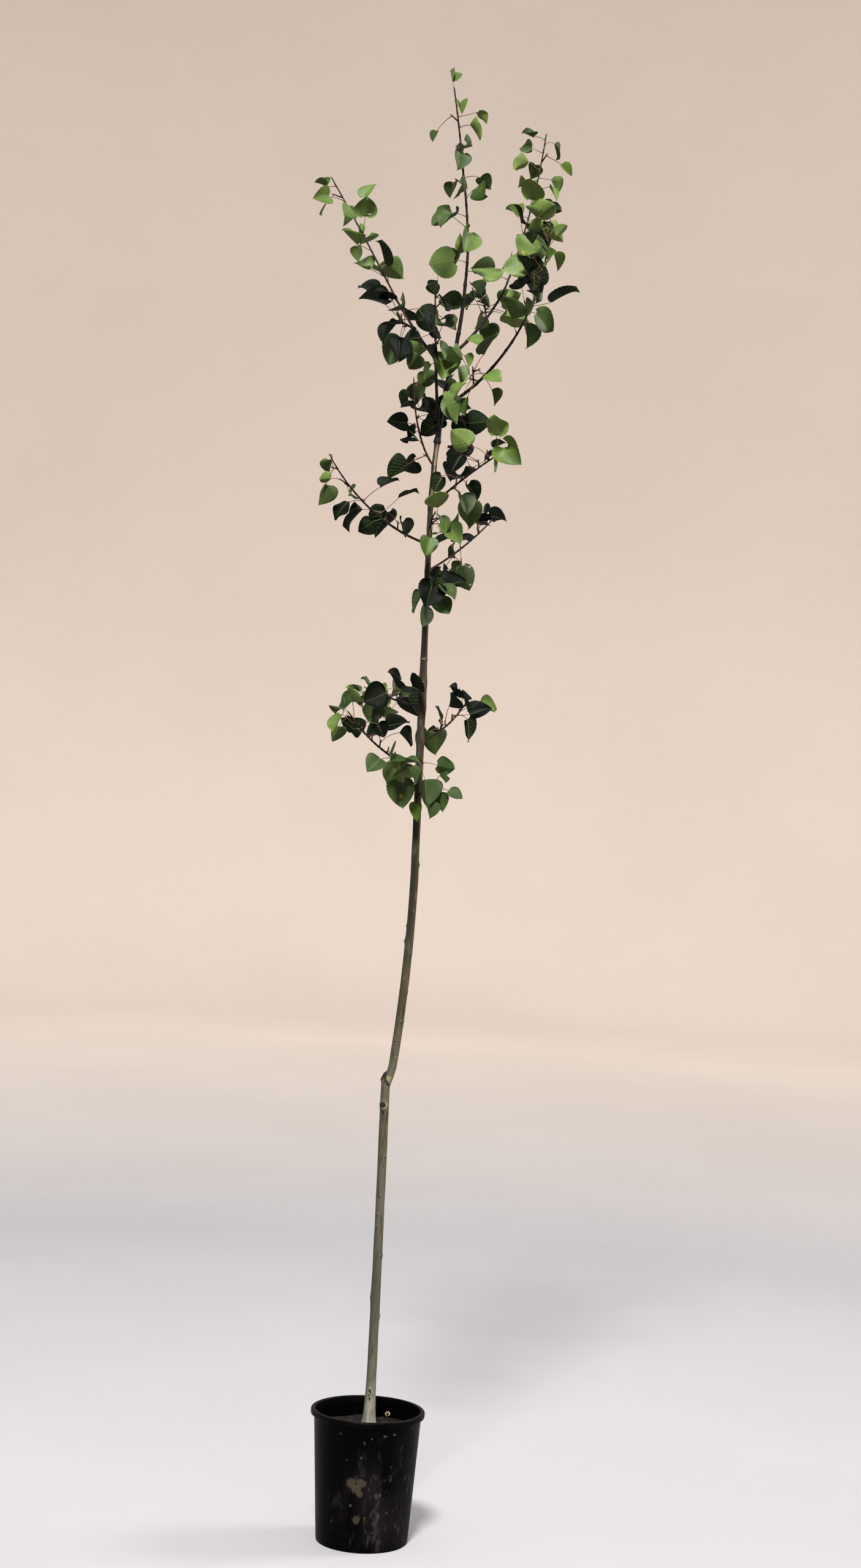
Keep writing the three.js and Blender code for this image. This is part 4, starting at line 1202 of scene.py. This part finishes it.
def plastic_finish():
    """Black plastic with dust wiped down its lower right and a rubbed rim."""
    finish = Finish("black_plastic", 0.5, 0.03)
    cloud = finish.noise(20, 0.7, 5)
    where = finish.near(DUST_PLACE, *DUST_REACH)
    dust = finish.times(finish.mask(finish.times(finish.noise(38, 0.16, 6, 0.65), cloud), 0.2, 0.42), where)
    grime = finish.times(finish.mask(finish.noise(90, 0.5, 5), 0.55, 0.8), 0.35)
    finish.tone = finish.mix(grime, linear(POT_BLACK), linear(POT_GRIME))
    finish.layer(dust, 0.65, DUST_TONE)
    smear = finish.mask(finish.noise(75, 0.4, 6, 0.7), 0.55, 0.66)
    finish.layer(finish.times(smear, where), 0.7, SMEAR_TONE)
    finish.blots(MUD_PATCHES, finish.wobble(0.9, 150, 0.8), 0.3, 0.55, MUD_TONE)
    rubbed = finish.times(finish.mask(finish.height(), *RIM_BAND), finish.mask(cloud, 0.42, 0.6))
    finish.layer(rubbed, 0.35, RIM_TONE)
    finish.gloss(finish.sum(dust, grime), 0.42, 0.75)
    finish.bump(finish.noise(420, 0.3, 3), 0.12, 0.0003)
    return finish.finished()


def leaf_finish(name, blade, shade, roughness, specular):
    """Blade in two greens, with deeper clouds, a little yellow and a few dark spots."""
    finish = Finish(name, roughness, specular)
    finish.tone = finish.mix(finish.mask(finish.noise(42), 0.35, 0.65), linear(shade), linear(blade))
    deeper = [part * share for part, share in zip(shade, DEEPER_SHADE)]
    finish.layer(finish.mask(finish.noise(14, 1, 2), 0.42, 0.6), 0.45, deeper)
    finish.layer(finish.mask(finish.noise(31, 1, 2), 0.71, 0.76), 0.7, LEAF_YELLOW)
    finish.layer(finish.mask(finish.specks(150), 0.1, 0.06), 0.6, LEAF_SPOT)
    fine = finish.noise(420, 1, 3)
    finish.gloss(fine, roughness - 0.05, roughness + 0.09)
    finish.bump(fine, 0.22, 0.0003)
    return finish.finished()


def make_finishes():
    """Every finish of the part by its name."""
    made = {name: mottled(name, *row) for name, row in MOTTLED.items()}
    made.update({name: leaf_finish(name, *row) for name, row in GREENS.items()})
    return {**made, "bark": bark_finish(), "black_plastic": plastic_finish()}


# Pot, in the source's profile, with the radii of its rounded edges
POT_ROUND = 128
POT_FLOOR = 3
FOOT_BEND, NECK_BEND, LIP_LOW_BEND = 2.4, 1.1, 1.5
LIP_BEND, INNER_BEND, FLOOR_BEND = 2.6, 1.6, 2
AXIS_HOLE = 0.01
DRAIN_HOLES = 6
DRAIN_RADIUS = 6
DRAIN_RING = 56
# Flecks of soil on the pot, as (height, side in degrees, half height, half width)
POT_FLECKS = [
    (191, 242, 1.8, 2.2), (191, 291, 2.4, 3.6), (187, 277, 1.8, 2), (180, 269, 2.8, 1.8), (156, 266, 3.2, 2),
    (96, 290, 3, 2.2), (77, 256, 2.4, 2.6), (46, 231, 1.6, 2), (117, 323, 6, 1.4), (66, 300, 2.6, 1.8),
    (34, 284, 1.6, 2.4), (140, 301, 2.2, 1.4), (150, 250, 1.4, 1.6), (70, 200, 2, 2.4), (120, 150, 3, 2),
    (50, 110, 2.4, 3), (160, 60, 2, 2.4), (88, 30, 3, 2),
]
TAN_FLECKS = [(193, 302, 2, 3), (197, 329, 2, 2.6), (58, 273, 1.4, 1.6)]
FLECK_LIFT = 0.28
FLECK_SPOKES = 18
FLECK_RAGGED = 0.9
FLECK_SEED_STEP = 13


def wall_radius(z):
    return along(POT_BASE_RADIUS, POT_TOP_RADIUS, z / POT_HEIGHT)


def arc(x, z, radius, start, end, count):
    """Points of an arc in the plane of a profile, angles in degrees."""
    turns = [along(start, end, i / count) * RAD for i in range(count + 1)]
    return [(x + radius * cos(a), z + radius * sin(a)) for a in turns]


def pot_profile():
    lip = POT_HEIGHT - POT_LIP_HEIGHT
    inner = wall_radius(POT_HEIGHT) - POT_WALL
    return [
        (AXIS_HOLE, 0), (30, 0), (POT_BASE_RADIUS - 8, 0),
        *arc(POT_BASE_RADIUS - FOOT_BEND, FOOT_BEND, FOOT_BEND, -90, -5, 5),
        *[(wall_radius(z), z) for z in (8, 30, 60, 90, 120, 150, 180, lip - 1.4)],
        *arc(wall_radius(lip) + NECK_BEND, lip - NECK_BEND, NECK_BEND, 180, 90, 3),
        *arc(POT_RIM_RADIUS - LIP_LOW_BEND, lip + LIP_LOW_BEND, LIP_LOW_BEND, -90, 0, 4),
        *arc(POT_RIM_RADIUS - LIP_BEND, POT_HEIGHT - LIP_BEND, LIP_BEND, 0, 90, 6),
        *arc(inner + INNER_BEND, POT_HEIGHT - INNER_BEND, INNER_BEND, 90, 180, 4),
        *[(wall_radius(z) - POT_WALL, z) for z in (200, 170, 140, 90, 40, 8)],
        *arc(wall_radius(5) - POT_WALL - FLOOR_BEND, POT_FLOOR + FLOOR_BEND, FLOOR_BEND, 0, -90, 4),
        (40, POT_FLOOR), (AXIS_HOLE, POT_FLOOR),
    ]


def drill(piece):
    """Cuts the drain holes through the pot's floor."""
    cutters = Shape()
    for i in range(DRAIN_HOLES):
        angle = (i + 0.5) / DRAIN_HOLES * FULL_TURN
        x, y = DRAIN_RING * cos(angle), DRAIN_RING * sin(angle)
        cutters.tube([((x, y, z), (0, 0, 1), (1, 0, 0), DRAIN_RADIUS) for z in (-POT_FLOOR, 8)], 24)
    cutter = cutters.mesh_object("drain_cutter", [], smooth=False)
    cut = piece.modifiers.new("drain", "BOOLEAN")
    cut.object = cutter
    cut.operation = "DIFFERENCE"
    cut.solver = "EXACT"
    settled = piece.evaluated_get(bpy.context.evaluated_depsgraph_get())
    mesh = bpy.data.meshes.new_from_object(settled)
    piece.modifiers.clear()
    piece.data = mesh
    bpy.data.objects.remove(cutter)


def build_flecks(rows, seed):
    shape = Shape()
    for number, (height, side, tall, wide) in enumerate(rows):
        def surface(across, up, out):
            z = min(height + up, POT_HEIGHT - POT_LIP_HEIGHT - 2)
            reach = wall_radius(z) + out
            angle = side * RAD + across / reach
            return (reach * cos(angle), reach * sin(angle), z)

        start = seed + number * FLECK_SEED_STEP
        add_patch(shape, surface, (wide, tall), FLECK_LIFT, FLECK_SPOKES, FLECK_RAGGED, start)
    return shape


# Potting mix: points round it, rings of its top, and its lumps as (height, fineness, place in the noise)
MIX_ROUND = 120
MIX_RINGS = 34
MIX_EDGE = wall_radius(MIX_LEVEL) - POT_WALL - GAP
MIX_EDGE_WIDTH = 22
MIX_LUMPS = ((2.2, 0.045, 2), (1.1, 0.16, 5), (0.6, 0.5, 9))
# Loose pieces on the mix: name, number, seed and sizes
LOOSE = [("crumbs", 620, 71, (1.7, 1.4, 0.9)), ("bark_chips", 90, 137, (5.5, 2.2, 0.8))]
LOOSE_ROOM = 5
LOOSE_NEAREST = 0.035
LOOSE_SCALE = (0.6, 1.5)
LOOSE_SHAPE = (0.7, 1.3)
LOOSE_LIFT = 0.3
# Pebble: rings as (level, width), their twist, and the jitter of a corner
PEBBLE_RINGS = ((-1, 0.55), (-0.25, 1), (0.45, 0.9), (1, 0.4))
PEBBLE_TWIST = 0.4
PEBBLE_JITTER = (0.75, 1.2)
# Scrap: place, curl in all, steps
SCRAP_PLACE = (34, 66, 187.5)
SCRAP_CURL = 4.4
SCRAP_STEPS = 14


def mix_lump(x, y):
    """Height of the mix's rough surface."""
    outer = min(1, max(0, (hypot(x, y) - MIX_EDGE + MIX_EDGE_WIDTH) / MIX_EDGE_WIDTH))
    lumps = sum(tall * ripple(x * fine, y * fine, part) for tall, fine, part in MIX_LUMPS)
    return MIX_LEVEL - MIX_EDGE_DROP * outer + lumps


def build_mix():
    profile = [(AXIS_HOLE, POT_FLOOR + GAP), (wall_radius(POT_FLOOR) - POT_WALL - 4 * GAP, POT_FLOOR + GAP)]
    profile += [(wall_radius(z) - POT_WALL - GAP, z) for z in (20, 80, 140, MIX_LEVEL - MIX_EDGE_DROP - 6)]
    profile += [(MIX_EDGE * (1 - i / MIX_RINGS) + AXIS_HOLE, MIX_LEVEL) for i in range(MIX_RINGS + 1)]

    def rough(x, z, angle):
        return (x, z) if z < MIX_LEVEL else (x, mix_lump(x * cos(angle), x * sin(angle)))

    return Shape().turn(profile, MIX_ROUND, rough)


def add_pebble(shape, centre, sizes, turn, roll):
    """Rough lump with pinched ends."""
    points = []
    for level, wide in PEBBLE_RINGS:
        for start in angles(5):
            angle = start + turn + level * PEBBLE_TWIST
            jitter = along(*PEBBLE_JITTER, roll())
            x, y = sizes[0] * wide * jitter * cos(angle), sizes[1] * wide * jitter * sin(angle)
            x, y = x * cos(turn) - y * sin(turn), x * sin(turn) + y * cos(turn)
            points.append(add(centre, (x, y, sizes[2] * level)))
    shape.put_rings(points, 5)


def strew(count, seed, sizes):
    """Crumbs or chips dealt over the mix, clear of the trunk's foot and the pot's wall."""
    shape, roll = Shape(), dice(seed)
    edge = wall_radius(MIX_LEVEL) - POT_WALL - LOOSE_ROOM
    for _ in range(count):
        angle, far = roll() * FULL_TURN, sqrt(along(LOOSE_NEAREST, 1, roll())) * edge
        x, y = TRUNK_FOOT[0] + far * cos(angle), far * sin(angle)
        if hypot(x, y) > edge:
            continue
        scale = along(*LOOSE_SCALE, roll() ** 2)
        wide = tuple(side * scale * along(*LOOSE_SHAPE, roll()) for side in sizes)
        add_pebble(shape, (x, y, mix_lump(x, y) + wide[2] * LOOSE_LIFT), wide, roll() * 6.3, roll)
    return shape


def build_scrap():
    """Dry curled leaf scrap on the mix near the far wall."""
    points, radii = [], []
    for i in range(SCRAP_STEPS + 1):
        t = i / SCRAP_STEPS
        curl = t * SCRAP_CURL
        points.append(add(SCRAP_PLACE, (7 * t * cos(curl), 4 * sin(curl), 5 * sin(t * pi))))
        radii.append(0.5 + 1.1 * sin(t * pi))
    return Shape().tube(route(points, radii), 8, lambda angle, number: 0.35 + 0.65 * abs(cos(angle)))


def pick_green_and_shade(row, number):
    """Green of a spray, dealt by its mass's shares of light and mid green; the rest is dark. The greens are
    partly painted light and shade.
    """
    light, mid = row.tints
    deal = dice(number + TINT_SEED)()
    return LEAF_GREENS_AND_SHADES[0 if deal < light else 1 if deal < light + mid else 2]


def build_plant():
    lines = grow_limbs()
    masses = grow_masses(lines)
    trunk = Trunk()
    boughs, shoots, spurs, buds, veins = Shape(), Shape(), Shape(), Shape(), Shape()
    stalks = {"red": Shape(), "green": Shape()}
    blades = {tint: Shape() for tint in LEAF_GREENS_AND_SHADES}
    for number, row in enumerate(LIMBS):
        stations = fine_route(lines[row.name], BOUGH_PITCH, BOUGH_EASE)
        add_limb(boughs, stations, BOUGH_ROUND, BOUGH_NODES, BOUGH_STOUT, number)
    for number, row in enumerate(SHOOTS):
        line = lines[row.name]
        total = row.sprays * row.spray
        nodes = [along(row.start, LAST_SWELLING, (k + 0.5) / total) for k in range(total)]
        stations = fine_route(line, SHOOT_PITCH, SHOOT_EASE)
        add_limb(shoots, stations, SHOOT_ROUND, nodes, SHOOT_STOUT, number + SHOOT_SEED)
        point, ahead, _, radius = stations[-1]
        add_bud(buds, move(point, ahead, -0.6), ahead, TIP_BUD[0], radius * TIP_BUD[1])
        for spray in masses[row.name]:
            spur, tint = spray.spur, pick_green_and_shade(row, spray.number)
            if spur:
                add_spur(spurs, spur, line.stations[-1].radius)
                add_bud(buds, move(spur.tip, spur.axis, -0.5), spur.axis, *SPUR_BUD)
            for k, leaf in enumerate(spray.leaves):
                dress_leaf(leaf, spray.number * 3 + k + LOOK_SEED)
                add_blade(blades[tint], leaf)
                add_veins(veins, leaf)
                add_stalk(stalks["red" if leaf.blush < RED_STALKS else "green"], leaf)
                if not spur:
                    axis = unit(move(leaf.first, ahead, 0.9))
                    add_bud(buds, move(leaf.foot, ahead, 1.8), axis, *SIDE_BUD)

    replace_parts(build_trunk(trunk).make("trunk_bark", ["bark"], "bark"), "trunk")
    stub, cut = build_stub(lines["trunk"])
    stub.make("stub_bark", ["bark"], "bark")
    cut.make("stub_cut", ["scar"], "bark")
    for name, finish, rows, lift, ragged in MARKS:
        trunk.marks(rows, lift, ragged).make(name, [finish], "bark")
    limb_nodes = [row.name for row in LIMBS]
    mass_nodes = [row.name for row in SHOOTS]
    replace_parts(boughs.make("bough_bark", ["young_bark"], "young_bark"), *limb_nodes)
    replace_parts(shoots.make("shoots", ["twig_bark"], "foliage"), *mass_nodes)
    spurs.make("spur_twigs", ["twig_bark"], "foliage")
    buds.make("buds", ["bud"], "foliage")
    for tint, shape in blades.items():
        piece = shape.make("leaves_" + tint, ["leaf_" + tint, "underside_" + tint], "foliage", angle=70)
        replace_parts(piece, *mass_nodes)
    veins.make("leaf_veins", ["vein"], "foliage")
    for tint, shape in stalks.items():
        shape.make("stalks_" + tint, ["stalk_" + tint], "foliage")


def build_pot():
    shape = Shape().turn(pot_profile(), POT_ROUND)
    pot = shape.make("pot_wall", ["black_plastic"], "black_plastic", angle=35)
    drill(pot)
    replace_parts(pot, "pot")
    for name, rows, seed in (("soil_flecks", POT_FLECKS, 900), ("tan_flecks", TAN_FLECKS, 1700)):
        build_flecks(rows, seed).make(name, [name], "black_plastic")
    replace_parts(build_mix().make("mix_surface", ["potting_mix"], "potting_mix"), "potting_mix")
    for name, count, seed, sizes in LOOSE:
        strew(count, seed, sizes).make(name, [name], "potting_mix", smooth=False)
    build_scrap().make("dry_scrap", ["dry_scrap"], "potting_mix")


# Round studio in millimetres: pale floor, cove and wall, with soft lights inside
STUDIO_RADIUS = 12000
COVE_RADIUS = 3000
WALL_TOP = 9000
STUDIO_FADE = (2.8, 7.8)
WALL_TONES = [(0.4, (219, 207, 196)), (0.6, (222, 210, 199))]
FLOOR_TONES = [(0.4, (143, 142, 145)), (0.6, (146, 145, 148))]
AMBIENT = (0.97, 0.98, 1, 1)
AMBIENT_POWER = 1.12
# Lights, in metres: name, place, target, diameter, power and colour
LIGHT_SPREAD = 95
LIGHTS = [
    ("key", (-0.8, -5.5, 7.5), (0, 0, 1.3), 1.5, 480, (1, 0.98, 0.95)),
    ("fill", (5.5, 1.5, 4.5), (0, 0, 1.2), 2.4, 110, (1, 0.98, 0.94)),
]


def build_studio():
    finish = Finish("studio_paint", 0.95, 0.1)
    cloud = finish.noise(0.6)
    wall, floor_paint = finish.ramp(cloud, WALL_TONES), finish.ramp(cloud, FLOOR_TONES)
    finish.tone = finish.mix(finish.near((0, 0, 0), *STUDIO_FADE), wall, floor_paint)
    curve = STUDIO_RADIUS - COVE_RADIUS
    cove = arc(curve, COVE_RADIUS, COVE_RADIUS, -90, 0, 16)
    shape = Shape().turn([(20, 0), (2000, 0), *cove, (STUDIO_RADIUS, WALL_TOP)], 96)
    shape.faces.pop()
    shape.kinds.pop()
    shape.mesh_object("studio", [finish.finished()])


def add_light(name, place, target, diameter, power, colour):
    data = bpy.data.lights.new(name, "AREA")
    data.shape = "DISK"
    data.size = diameter
    data.energy = power
    data.spread = LIGHT_SPREAD * RAD
    data.color = colour
    light = link(name, data)
    light.location = place
    light.rotation_euler = (Vector(target) - Vector(place)).to_track_quat("-Z", "Y").to_euler()


def light_scene():
    world = bpy.data.worlds.new("soft_light")
    world.use_nodes = True
    background = world.node_tree.nodes["Background"].inputs
    background["Color"].default_value = AMBIENT
    background["Strength"].default_value = AMBIENT_POWER
    bpy.context.scene.world = world
    bpy.context.scene.view_settings.view_transform = "Standard"
    for row in LIGHTS:
        add_light(*row)


FINISHES = make_finishes()
build_plant()
build_pot()
build_studio()
light_scene()
